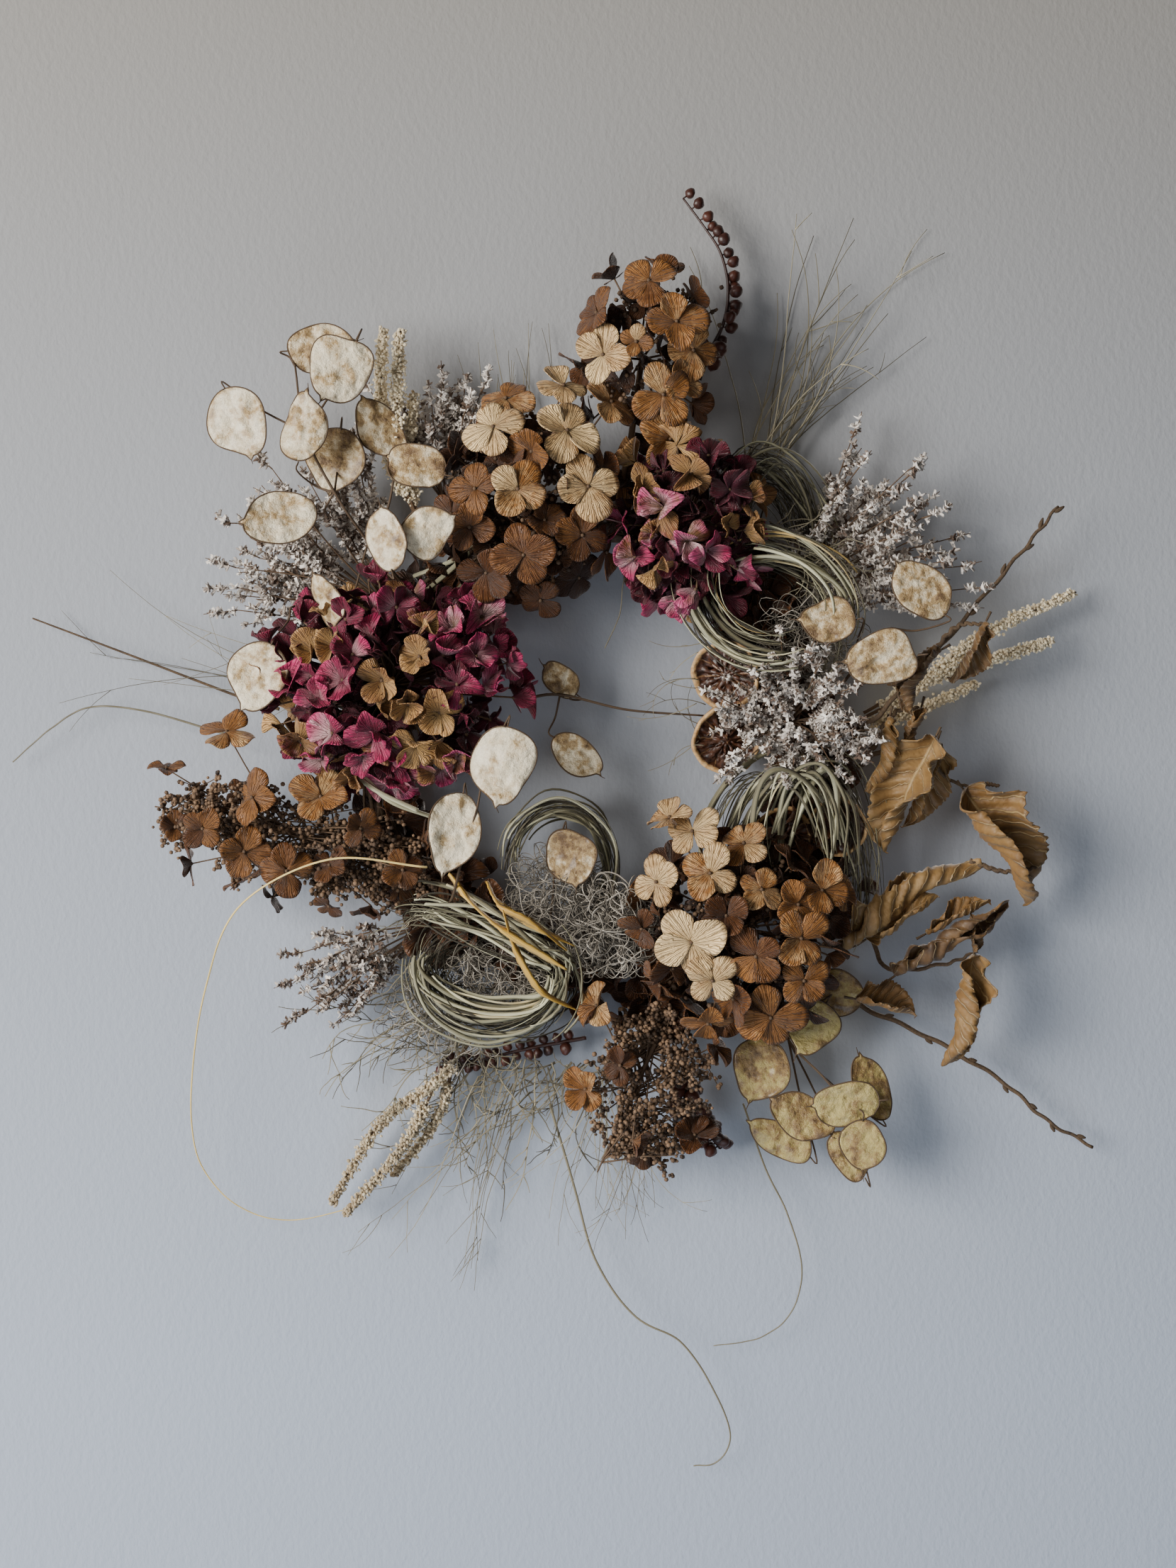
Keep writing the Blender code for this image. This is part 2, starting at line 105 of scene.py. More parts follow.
def take_shape():
    """Reads the active mesh as a Shape of triangles and clears it away."""
    thing = bpy.context.object
    bpy.ops.object.mode_set(mode="EDIT")
    bpy.ops.mesh.select_all(action="SELECT")
    bpy.ops.mesh.quads_convert_to_tris()
    bpy.ops.object.mode_set(mode="OBJECT")
    mesh = thing.data
    points = np.empty(len(mesh.vertices) * 3)
    mesh.vertices.foreach_get("co", points)
    faces = np.empty(len(mesh.loops), dtype=np.int64)
    mesh.loops.foreach_get("vertex_index", faces)
    uvs = np.zeros(len(mesh.loops) * 2)
    if mesh.uv_layers:
        mesh.uv_layers[0].data.foreach_get("uv", uvs)
    shape = Shape(points.reshape(-1, 3), faces.reshape(-1, 3), uvs.reshape(-1, 2))
    bpy.data.objects.remove(thing)
    bpy.data.meshes.remove(mesh)
    return shape


def finish_with(kind, **settings):
    """Adds a modifier to the active mesh and applies it."""
    bpy.ops.object.modifier_add(type=kind)
    added = bpy.context.object.modifiers[-1]
    for name, value in settings.items():
        setattr(added, name, value)
    bpy.ops.object.modifier_apply(modifier=added.name)


def model_sheet(columns, rows, form, thick, closed=False):
    """A thin sheet: a grid whose points are moved by form(across from -1 to 1, along from 0 to 1).

    The form gives each point's place, then its flat place (across, along) for the finish. A closed sheet
    wraps round to meet itself, and has its seam and its middle joined.
    """
    bpy.ops.object.select_all(action="DESELECT")
    bpy.ops.mesh.primitive_grid_add(x_subdivisions=columns, y_subdivisions=rows, size=1)
    mesh = bpy.context.object.data
    places = np.empty(len(mesh.vertices) * 3)
    mesh.vertices.foreach_get("co", places)
    places = places.reshape(-1, 3)
    x, y, z, across, along = form(places[:, 0] * 2, places[:, 1] + 0.5)
    corners = np.empty(len(mesh.loops), dtype=np.int64)
    mesh.loops.foreach_get("vertex_index", corners)
    mesh.uv_layers[0].data.foreach_set("uv", np.stack([across, along], axis=1)[corners].ravel())
    mesh.vertices.foreach_set("co", np.stack([x, y, z], axis=1).ravel())
    if closed:
        bpy.ops.object.mode_set(mode="EDIT")
        bpy.ops.mesh.select_all(action="SELECT")
        bpy.ops.mesh.remove_doubles(threshold=0.001)
        bpy.ops.mesh.dissolve_degenerate(threshold=0.0005)
        bpy.ops.object.mode_set(mode="OBJECT")
    finish_with("SOLIDIFY", thickness=thick, offset=0)
    return take_shape()


def to_disc(u, v):
    """A place of the square grid moved onto a round disc of radius 1."""
    v = 2 * v - 1
    return u * np.sqrt(1 - v**2 / 2), v * np.sqrt(1 - u**2 / 2)


def sepal(wide=0.5, cup=0.12, curl=0.08, fold=0.0, ruffle=0.0, phase=0.0):
    """A rounded sepal of length 1 along +Y that narrows to its base and faces +Z."""

    def form(u, v):
        x, y = to_disc(u, v)
        along = 0.5 + 0.5 * y
        across = x * wide * (0.28 + 0.72 * np.clip(along / 0.5, 0, 1) ** 0.9)
        lift = cup * across**2 * 3 + fold * np.abs(across) - curl * along**2
        fan = np.arctan2(across, along + 0.15)
        edge = np.sin(9 * fan + phase) * np.hypot(across, along) ** 3
        lift += ruffle * (edge + 0.6 * np.sin(5 * along + 3 * x + phase))
        return across * (1 - 0.4 * abs(fold) * 0.6), along * (1 - 0.15 * abs(curl)), lift, 0.5 + across, along

    return model_sheet(7, 7, form, 0.02)


def ball():
    """A rounded grain of 20 faces, 1 across."""
    bpy.ops.object.select_all(action="DESELECT")
    bpy.ops.mesh.primitive_ico_sphere_add(subdivisions=1, radius=0.5)
    return take_shape()


def capsule():
    """A seed capsule: a ribbed ball drawn out to a point at +Z."""
    bpy.ops.object.select_all(action="DESELECT")
    bpy.ops.mesh.primitive_uv_sphere_add(segments=9, ring_count=7, radius=0.5)
    for point in bpy.context.object.data.vertices:
        turn = math.atan2(point.co.y, point.co.x)
        rib = 1 + 0.12 * math.cos(3 * turn) + 0.05 * math.sin(5 * turn + 9 * point.co.z)
        point.co.x *= rib
        point.co.y *= rib
        if point.co.z > 0.3:
            point.co.z += 0.14 * (point.co.z - 0.3) / 0.2
    return take_shape()


def star():
    """A papery five-pointed floret, a shallow funnel that opens towards +Z."""
    bpy.ops.object.select_all(action="DESELECT")
    bpy.ops.mesh.primitive_circle_add(vertices=10, radius=0.5, fill_type="TRIFAN")
    for point in bpy.context.object.data.vertices:
        reach = math.hypot(point.co.x, point.co.y)
        turn = round(math.degrees(math.atan2(point.co.y, point.co.x)) / 36)
        if reach > 0.1 and turn % 2:
            point.co.x *= 0.3
            point.co.y *= 0.3
            point.co.z = -0.2
        elif reach < 0.1:
            point.co.z = -0.55
    finish_with("SOLIDIFY", thickness=0.05, offset=0)
    return take_shape()


def pod(rng):
    """A papery honesty pod and its outline: an uneven, crinkled oval with a short beak at +Y."""
    lobes = [(count, rng.uniform(0.015, 0.055), rng.uniform(0, math.tau)) for count in (2, 3, 4)]
    bumps = [(*rng.uniform(-0.85, 0.85, 2), rng.uniform(-0.085, 0.085)) for _ in range(30)]
    bow = rng.uniform(-0.16, 0.16, 2)

    def place(x, y):
        turn = np.arctan2(y, x)
        uneven = 1 + sum(size * np.cos(count * turn + phase) for count, size, phase in lobes)
        beak = 0.14 * np.exp(-((x / 0.07) ** 2)) * np.clip((y - 0.9) / 0.1, 0, 1)
        lift = bow[0] * x**2 + bow[1] * y**2
        for across, up, high in bumps:
            lift = lift + high * np.exp(-((x - across) ** 2 + (y - up) ** 2) / 0.02)
        return np.stack([0.5 * x * (1 - 0.14 * y) * uneven, 0.5 * (y * uneven + beak), 0.5 * lift])

    def form(u, v):
        x, y = to_disc(u, v)
        return *place(x, y), 0.5 + 0.5 * x, 0.5 + 0.5 * y

    turn = np.linspace(0, math.tau, 49)
    return model_sheet(16, 16, form, 0.012), place(np.sin(turn), -np.cos(turn)).T


def leaf(fold, curl, twist, slim, phase, pleats=9):
    """A toothed, pleated leaf of length 1 along +Y: its sides roll up, and it twists and curls to its tip."""
    reach = np.linspace(0, 1, 101)
    ahead = np.concatenate([[0], np.cumsum(np.cos(curl * reach[:-1] ** 2) / 100)])
    drop = np.concatenate([[0], np.cumsum(-np.sin(curl * reach[:-1] ** 2) / 100)])

    def form(u, v):
        teeth = (np.abs(u) > 0.9) * (((v * 19 + 0.3 * np.sin(7 * v)) % 1) - 0.4)
        half = slim * np.sin(np.pi * v**0.75) ** 0.7 * (1 + 0.12 * teeth) + 0.012
        bend = fold * (0.85 + 0.3 * np.sin(4.5 * v + phase)) * (1 + 0.2 * np.sign(u) * np.sin(3 * v + phase))
        ridge = np.abs(((v - 0.2 * np.abs(u)) * pleats + 0.2 * np.sin(3 * v + phase)) % 1 - 0.5) * 4 - 1
        relief = 0.017 * ridge * np.clip(4 * np.abs(u), 0, 1) * np.sin(np.pi * v) ** 0.5
        relief += 0.06 * np.sin(17 * v + 2 * np.sign(u) + 3 * np.sin(5 * v) + phase) * np.abs(u) ** 3
        relief += 0.028 * np.sin(11 * v + 3.5 * u + phase) * np.sin(np.pi * v)
        x = half * np.sin(bend * u) / bend - relief * np.sin(bend * u)
        z = half * (1 - np.cos(bend * u)) / bend + relief * np.cos(bend * u) + 0.22 * half * np.abs(u)
        turn = twist * (v - 0.25)
        x, z = x * np.cos(turn) - z * np.sin(turn), x * np.sin(turn) + z * np.cos(turn)
        tip = curl * v**2
        y = np.interp(v, reach, ahead) + z * np.sin(tip)
        return x, y, np.interp(v, reach, drop) + z * np.cos(tip), 0.5 + 0.5 * u, v

    return model_sheet(16, 72, form, 0.008)


def slice_disc():
    """A dried citrus slice: a thin wrinkled rind round sunken segments parted by thin walls."""

    def form(u, v):
        turn = np.pi * (u + 1)
        reach = 0.5 * v * (1 + 0.02 * np.sin(4 * turn) + 0.012 * np.sin(9 * turn + 1))
        wall = np.abs((turn * 10 / math.tau) % 1 - 0.5) * 2
        sunk = -0.09 * (1 - wall**6) * np.sin(np.pi * np.clip((v - 0.08) / 0.84, 0, 1)) ** 0.5
        rim = 0.035 * np.clip((v - 0.88) / 0.06, 0, 1)
        curl = 0.05 * np.sin(2 * turn + 0.7) * v**2
        rough = 0.02 * np.sin(23 * turn + 9 * v) * np.sin(13 * v + turn) * (v < 0.88)
        return reach * np.cos(turn), reach * np.sin(turn), sunk + rim + curl + rough, 0.5 + 0.5 * u, v

    return model_sheet(80, 20, form, 0.06, closed=True)


# ---------------------------------------------------------------- placing


def unit(vector):
    """A vector, or each of many, brought to length 1."""
    vector = np.asarray(vector, dtype=float)
    return vector / np.maximum(np.linalg.norm(vector, axis=-1, keepdims=True), 1e-9)


def stand(place, facing=(0, 0, 1), spin=0.0, size=1.0, along=None):
    """The matrix that puts a shape at a place with its +Z towards facing, and its +Y along a way if given."""
    z = unit(facing)
    if along is None:
        guide = (0.0, 1.0, 0.0) if abs(z[1]) < 0.9 else (1.0, 0.0, 0.0)
        x = unit(np.cross(guide, z))
    else:
        x = unit(np.cross(along, z))
    y = np.cross(z, x)
    if along is not None:
        y = unit(along)
        z = np.cross(x, y)
    turn = np.array([[math.cos(spin), -math.sin(spin), 0], [math.sin(spin), math.cos(spin), 0], [0, 0, 1]])
    made = np.eye(4)
    made[:3, :3] = np.stack([x, y, z], axis=1) @ turn * size
    made[:3, 3] = place
    return made


def sized(matrix, *sizes):
    """A matrix whose shape is sized along its own three axes."""
    made = matrix.copy()
    made[:3, :3] = matrix[:3, :3] @ np.diag(sizes)
    return made


def tip_up(angle):
    """A turn about X that lifts a sheet's far end towards +Z."""
    made = np.eye(4)
    made[1:3, 1:3] = [[math.cos(angle), -math.sin(angle)], [math.sin(angle), math.cos(angle)]]
    return made


def turned(points, lean=0.0, yaw=0.0, pitch=0.0):
    """Turns points by degrees: pitch about across, yaw about up, then lean in the ring's plane."""
    a, b, c = (math.radians(value) for value in (lean, yaw, pitch))
    pitched = np.array([[1, 0, 0], [0, math.cos(c), -math.sin(c)], [0, math.sin(c), math.cos(c)]])
    yawed = np.array([[math.cos(b), 0, math.sin(b)], [0, 1, 0], [-math.sin(b), 0, math.cos(b)]])
    leant = np.array([[math.cos(a), -math.sin(a), 0], [math.sin(a), math.cos(a), 0], [0, 0, 1]])
    return np.asarray(points) @ (leant @ yawed @ pitched).T


def smooth(places, steps):
    """Points along a smooth curve through the places."""
    places = np.asarray(places, dtype=float)
    ends = np.vstack([2 * places[0] - places[1], places, 2 * places[-1] - places[-2]])
    spans = len(places) - 1
    t = np.linspace(0, spans, steps)
    cell = np.minimum(t.astype(int), spans - 1)
    f = (t - cell)[:, None]
    a, b, c, d = (ends[cell + shift] for shift in range(4))
    return 0.5 * (2 * b + (c - a) * f + (2 * a - 5 * b + 4 * c - d) * f**2 + (3 * b - a - 3 * c + d) * f**3)


def on_ring(angle, reach=0.0, off=0.0):
    """A place at an angle round the ring, in degrees from its right side."""
    turn = math.radians(angle)
    radius = RING_RADIUS + reach
    return np.array([radius * math.cos(turn), radius * math.sin(turn), RING_OFF + off])


class Bundle:
    """Small shapes and swept stems gathered into one mesh, in millimetres."""

    def __init__(self):
        self.points, self.corners, self.sizes, self.uvs, self.tones = [], [], [], [], []
        self.count = 0

    def add(self, points, faces, uvs, tones):
        self.points.append(points)
        self.corners.append((faces + self.count).ravel())
        self.sizes.append(np.full(len(faces), faces.shape[1]))
        self.uvs.append(uvs)
        self.tones.append(np.broadcast_to(tones, len(points)))
        self.count += len(points)

    def copies(self, shape, matrices, tones):
        """Copies of a shape, each with its own tone."""
        matrices = np.asarray(matrices)
        if not len(matrices):
            return
        many, each = len(matrices), len(shape.points)
        points = np.einsum("kij,nj->kni", matrices[:, :3, :3], shape.points) + matrices[:, None, :3, 3]
        starts = np.arange(many)[:, None, None] * each
        faces = (shape.faces[None] + starts).reshape(-1, 3)
        self.add(points.reshape(-1, 3), faces, np.tile(shape.uvs, (many, 1)), np.repeat(tones, each))

    def stem(self, path, wide, thick=None, face=(0.13, 0.21, 1.0), sides=5, tone=0.5):
        """A stem or blade swept along a path, wide across its face and thick through it."""
        path = np.asarray(path, dtype=float)
        steps = len(path)
        along = unit(np.gradient(path, axis=0))
        side = unit(np.cross(along, np.broadcast_to(face, (steps, 3))))
        out = np.cross(side, along)
        half = np.broadcast_to(wide, steps)[:, None, None] / 2
        deep = half if thick is None else np.broadcast_to(thick, steps)[:, None, None] / 2
        turn = np.arange(sides) * math.tau / sides
        rim = side[:, None] * np.cos(turn)[None, :, None] * half
        rim = path[:, None] + rim + out[:, None] * np.sin(turn)[None, :, None] * deep
        row = np.arange(steps - 1)[:, None] * sides
        here = np.arange(sides)[None]
        after = (here + 1) % sides
        quads = np.stack([row + here, row + sides + here, row + sides + after, row + after], axis=-1)
        length = np.concatenate([[0], np.cumsum(np.linalg.norm(np.diff(path, axis=0), axis=1))])
        u = np.stack([here, here, here + 1, here + 1], axis=-1) / sides + np.zeros((steps - 1, 1, 1))
        low, high = length[:-1, None] + np.zeros(sides), length[1:, None] + np.zeros(sides)
        v = np.stack([low, high, high, low], axis=-1) / 100
        self.add(rim.reshape(-1, 3), quads.reshape(-1, 4), np.stack([u, v], axis=-1).reshape(-1, 2), tone)
        last = here[:, ::-1] + (steps - 1) * sides
        self.corners.append((np.vstack([here, last]) + self.count - steps * sides).ravel())
        self.sizes.append(np.full(2, sides))
        self.uvs.append(np.tile([[0.5, 0.0]], (2 * sides, 1)))

    def piece(self, name, material, slot, stands_for=(), body=BODY):
        """Makes the mesh in its place, as a piece that rides on a body."""
        points = np.concatenate(self.points)
        across, up, off = points.T
        off = np.where(off < PRESSED, PRESSED * np.exp(np.minimum(off - PRESSED, 0) / PRESSED), off)
        world = np.stack([MIDDLE[0] + across * MM, DOOR - off * MM, MIDDLE[2] + up * MM], axis=1)
        corners, sizes = np.concatenate(self.corners), np.concatenate(self.sizes)
        mesh = bpy.data.meshes.new(name)
        mesh.vertices.add(len(world))
        mesh.vertices.foreach_set("co", world.ravel())
        mesh.loops.add(len(corners))
        mesh.loops.foreach_set("vertex_index", corners.astype(np.int32))
        mesh.polygons.add(len(sizes))
        mesh.polygons.foreach_set("loop_start", np.concatenate([[0], np.cumsum(sizes)[:-1]]).astype(np.int32))
        mesh.update(calc_edges=True)
        mesh.uv_layers.new(name="UVMap").data.foreach_set("uv", np.concatenate(self.uvs).ravel())
        tone = mesh.attributes.new("tone", "FLOAT", "POINT")
        tone.data.foreach_set("value", np.concatenate(self.tones).astype(np.float32))
        mesh.shade_smooth()
        mesh.materials.append(material)
        made = bpy.data.objects.new(name, mesh)
        bpy.context.scene.collection.objects.link(made)
        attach(made, body)
        if stands_for:
            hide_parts(*stands_for)
        return made


# ---------------------------------------------------------------- finishes

FINISHES = {}


class Finish:
    """A Principled material whose nodes are added one by one."""

    def __init__(self, name, **sockets):
        self.material = bpy.data.materials.new(f"dried_{name}")
        self.material.use_nodes = True
        self.tree = self.material.node_tree
        self.surface = self.tree.nodes["Principled BSDF"]
        for socket, value in sockets.items():
            self.surface.inputs[socket.replace("_", " ").title().replace("Ior", "IOR")].default_value = value

    def node(self, kind, inputs=None, **settings):
        made = self.tree.nodes.new(kind)
        for name, value in settings.items():
            setattr(made, name, value)
        for name, value in (inputs or {}).items():
            if isinstance(value, bpy.types.NodeSocket):
                self.tree.links.new(value, made.inputs[name])
            else:
                made.inputs[name].default_value = value
        return made

    def tone(self):
        return self.node("ShaderNodeAttribute", attribute_name="tone").outputs["Fac"]

    def uv(self):
        return self.node("ShaderNodeTexCoord").outputs["UV"]

    def where(self):
        return self.node("ShaderNodeTexCoord").outputs["Object"]

    def split(self, vector):
        return self.node("ShaderNodeSeparateXYZ", {"Vector": vector}).outputs

    def stretched(self, vector, scale):
        return self.node("ShaderNodeMapping", {"Vector": vector, "Scale": scale}).outputs["Vector"]

    def noise(self, vector, scale, detail=4.0, rough=0.6):
        values = {"Vector": vector, "Scale": scale, "Detail": detail, "Roughness": rough}
        return self.node("ShaderNodeTexNoise", values).outputs["Fac"]

    def cells(self, scale, feature):
        values = {"Vector": self.where(), "Scale": scale}
        return self.node("ShaderNodeTexVoronoi", values, feature=feature).outputs["Distance"]

    def math(self, operation, a, b=0.0):
        return self.node("ShaderNodeMath", {0: a, 1: b}, operation=operation).outputs[0]

    def add(self, a, b):
        return self.math("ADD", a, b)

    def times(self, a, b):
        return self.math("MULTIPLY", a, b)

    def varied(self, value, pattern, amount):
        """A value that a pattern around 0.5 moves up and down."""
        return self.add(value, self.times(self.math("SUBTRACT", pattern, 0.5), amount))

    def spread(self, value, low, high, to_low=0.0, to_high=1.0):
        values = {"Value": value, 1: low, 2: high, 3: to_low, 4: to_high}
        return self.node("ShaderNodeMapRange", values).outputs[0]

    def ramp(self, factor, *stops):
        made = self.node("ShaderNodeValToRGB", {"Fac": factor})
        marks = made.color_ramp.elements
        while len(marks) < len(stops):
            marks.new(0.5)
        for mark, (place, colour) in zip(marks, stops):
            mark.position = place
            mark.color = (*colour[:3], 1)
        return made.outputs["Color"]

    def mix(self, factor, a, b):
        made = self.tree.nodes.new("ShaderNodeMix")
        made.data_type = "RGBA"
        for index, value in ((0, factor), (6, a), (7, b)):
            if isinstance(value, bpy.types.NodeSocket):
                self.tree.links.new(value, made.inputs[index])
            else:
                made.inputs[index].default_value = value if index == 0 else (*value[:3], 1)
        return made.outputs[2]

    def fan(self, count, thin):
        """Veins that fan out from the base of a sepal, from 0 to 1."""
        across, along, _ = self.split(self.uv())
        side = self.math("SUBTRACT", across, 0.5)
        turn = self.math("ARCTAN2", side, self.add(along, 0.1))
        bent = self.noise(self.stretched(self.uv(), (5, 3, 1)), 1.0, 2.0)
        run = self.add(self.times(turn, count), self.times(bent, 1.6))
        return self.spread(self.math("PINGPONG", run, 0.5), 0.0, thin, 1.0, 0.0)

    def veins(self, count, slant, thin):
        """Side veins that rise from a midrib, from 0 to 1, on a sheet whose UV runs from base to tip."""
        across, along, _ = self.split(self.uv())
        away = self.math("ABSOLUTE", self.math("SUBTRACT", across, 0.5))
        bent = self.noise(self.stretched(self.uv(), (5, 5, 1)), 1.0, 2.0)
        run = self.math("SUBTRACT", self.times(along, count), self.times(away, slant))
        run = self.add(run, self.times(bent, 0.9))
        side = self.spread(self.math("PINGPONG", run, 0.5), 0.0, thin, 1.0, 0.0)
        middle = self.spread(away, 0.0, 0.035, 1.0, 0.0)
        return self.math("MAXIMUM", side, middle)

    def feed(self, socket, name):
        self.tree.links.new(socket, self.surface.inputs[name])

    def colour(self, socket):
        self.feed(socket, "Base Color")

    def rough(self, socket):
        self.feed(socket, "Roughness")

    def bump(self, height, strength, depth_mm):
        values = {"Height": height, "Strength": strength, "Distance": depth_mm * MM}
        self.feed(self.node("ShaderNodeBump", values).outputs["Normal"], "Normal")


def halfway(dark, light):
    return [(a + b) / 2 for a, b in zip(dark, light)]


def bark_finish(name, dark, light):
    made = Finish(name, roughness=0.85)
    streak = made.noise(made.stretched(made.uv(), (6, 55, 1)), 1.0, 6.0)
    patch = made.noise(made.where(), 90.0, 5.0)
    shade = made.add(made.times(streak, 0.6), made.times(patch, 0.4))
    made.colour(made.ramp(shade, (0.32, dark), (0.5, halfway(dark, light)), (0.68, light)))
    made.rough(made.spread(patch, 0.3, 0.7, 0.7, 0.95))
    made.bump(made.add(streak, made.times(patch, 0.5)), 0.8, 0.7)
    return made.material


def wire_finish():
    made = Finish("reel_wire", metallic=0.85, roughness=0.5)
    stain = made.noise(made.where(), 400.0, 5.0)
    made.colour(made.ramp(stain, (0.35, (0.06, 0.045, 0.03)), (0.6, (0.16, 0.14, 0.12))))
    made.rough(made.spread(stain, 0.3, 0.7, 0.4, 0.7))
    made.bump(stain, 0.3, 0.1)
    return made.material


PETAL_SOCKETS = {"roughness": 0.6, "sheen_weight": 0.08, "sheen_roughness": 0.4, "specular_ior_level": 0.35}


def petal_relief(made, mottle):
    """Coarse and fine veins, and the relief they raise on a sepal."""
    coarse = made.fan(5.0, 0.14)
    fine = made.fan(14.0, 0.28)
    lines = made.math("MAXIMUM", coarse, made.times(fine, 0.55))
    made.bump(made.math("SUBTRACT", made.times(mottle, 0.8), lines), 1.0, 0.7)
    made.rough(made.spread(mottle, 0.3, 0.7, 0.36, 0.62))
    return lines


def tan_petal_finish(settings):
    made = Finish("tan_petal", **PETAL_SOCKETS)
    _, along, _ = made.split(made.uv())
    mottle = made.noise(made.where(), 230.0, 4.0)
    tone = made.varied(made.tone(), mottle, 0.55)
    base = made.ramp(
        tone,
        (0.0, settings.petal_dark),
        (0.3, (0.105, 0.036, 0.008)),
        (0.62, settings.petal_tan),
        (1.0, settings.petal_pale),
    )
    edge = made.spread(made.add(along, made.times(mottle, 0.3)), 0.95, 1.15)
    base = made.mix(made.times(edge, 0.6), base, (0.12, 0.045, 0.012))
    made.colour(made.mix(made.times(petal_relief(made, mottle), 0.7), base, (0.08, 0.030, 0.009)))
    return made.material


def burgundy_petal_finish(settings):
    made = Finish("burgundy_petal", **PETAL_SOCKETS)
    _, along, _ = made.split(made.uv())
    mottle = made.noise(made.where(), 150.0, 4.0)
    tone = made.varied(made.tone(), mottle, 0.35)
    outer = made.ramp(
        tone,
        (0.0, (0.045, 0.008, 0.009)),
        (0.28, settings.petal_burgundy),
        (0.48, settings.petal_magenta),
        (0.6, (0.50, 0.09, 0.20)),
        (0.68, (0.20, 0.080, 0.028)),
        (1.0, (0.55, 0.31, 0.115)),
    )
    inner = made.ramp(
        tone,
        (0.0, (0.05, 0.010, 0.014)),
        (0.4, (0.22, 0.025, 0.06)),
        (0.56, (0.74, 0.48, 0.48)),
        (0.66, (0.28, 0.15, 0.06)),
        (1.0, (0.55, 0.33, 0.12)),
    )
    reach = made.varied(along, mottle, 0.9)
    base = made.mix(made.spread(reach, 0.3, 0.8), inner, outer)
    made.colour(made.mix(made.times(petal_relief(made, mottle), 0.45), base, (0.07, 0.010, 0.018)))
    return made.material


def plain_finish(name, dark, light, grain=300.0, roughness=0.8, depth=0.3, **sockets):
    """A dry matt finish between two colours, by each copy's tone and a fine grain."""
    made = Finish(name, roughness=roughness, **sockets)
    speck = made.noise(made.where(), grain, 5.0)
    shade = made.add(made.times(made.tone(), 0.7), made.times(speck, 0.5))
    made.colour(made.ramp(shade, (0.2, dark), (0.6, halfway(dark, light)), (0.95, light)))
    made.rough(made.spread(speck, 0.3, 0.7, max(roughness - 0.12, 0.1), min(roughness + 0.1, 1.0)))
    made.bump(speck, 0.5, depth)
    return made.material


def blade_finish(name, *stops, roughness=0.6):
    """Dry grass: tone picks the colour, and fine ribs run along each blade."""
    made = Finish(name, roughness=roughness, sheen_weight=0.1)
    ribs = made.noise(made.stretched(made.uv(), (14, 3, 1)), 1.0, 3.0)
    fade = made.noise(made.stretched(made.uv(), (0.5, 2.2, 1)), 1.0, 3.0)
    shade = made.varied(made.tone(), fade, 0.5)
    base = made.ramp(shade, *stops)
    made.colour(made.mix(made.spread(ribs, 0.42, 0.7, 0.0, 0.62), base, (0.09, 0.072, 0.038)))
    made.rough(made.spread(ribs, 0.3, 0.7, roughness - 0.12, roughness + 0.15))
    made.bump(ribs, 0.6, 0.3)
    return made.material


def pod_finish(name, pale, stain, deep):
    """A crinkled pearly membrane, stained where its seeds lay, with a fine net of veins."""
    made = Finish(name, roughness=0.35, sheen_weight=0.2, coat_weight=0.35, coat_roughness=0.22)
    cloud = made.noise(made.where(), 110.0, 2.0, 0.5)
    fleck = made.noise(made.where(), 300.0, 5.0, 0.7)
    crinkle = made.cells(260.0, "SMOOTH_F1")
    shade = made.add(made.times(cloud, 0.55), made.times(fleck, 0.45))
    shade = made.math("SUBTRACT", shade, made.times(made.math("SUBTRACT", made.tone(), 0.6), 0.12))
    between = [0.55 * a + 0.45 * b for a, b in zip(pale, stain)]
    base = made.ramp(shade, (0.40, pale), (0.49, between), (0.55, stain), (0.66, deep))
    lines = made.spread(made.cells(420.0, "DISTANCE_TO_EDGE"), 0.0, 0.07, 1.0, 0.0)
    made.colour(made.mix(made.times(lines, 0.16), base, deep))
    made.rough(made.spread(fleck, 0.35, 0.65, 0.2, 0.45))
    made.bump(made.add(made.add(cloud, fleck), made.times(crinkle, 0.7)), 1.0, 1.8)
    return made.material


def leaf_finish(settings):
    made = Finish("dry_leaf", roughness=0.6, sheen_weight=0.1)
    blotch = made.noise(made.where(), 70.0, 5.0)
    shade = made.varied(made.tone(), blotch, 1.0)
    base = made.ramp(shade, (0.0, (0.040, 0.020, 0.010)), (0.4, settings.leaf_ochre),
                     (1.0, (0.34, 0.215, 0.080)))
    lines = made.veins(9, 3.6, 0.07)
    shadow = made.veins(9, 3.6, 0.30)
    base = made.mix(made.times(shadow, 0.5), base, (0.055, 0.028, 0.010))
    made.colour(made.mix(made.times(lines, 0.75), base, (0.50, 0.35, 0.16)))
    fine = made.noise(made.where(), 380.0, 4.0)
    made.rough(made.spread(fine, 0.3, 0.7, 0.45, 0.75))
    made.bump(made.add(made.times(fine, 0.8), lines), 0.8, 0.6)
    return made.material


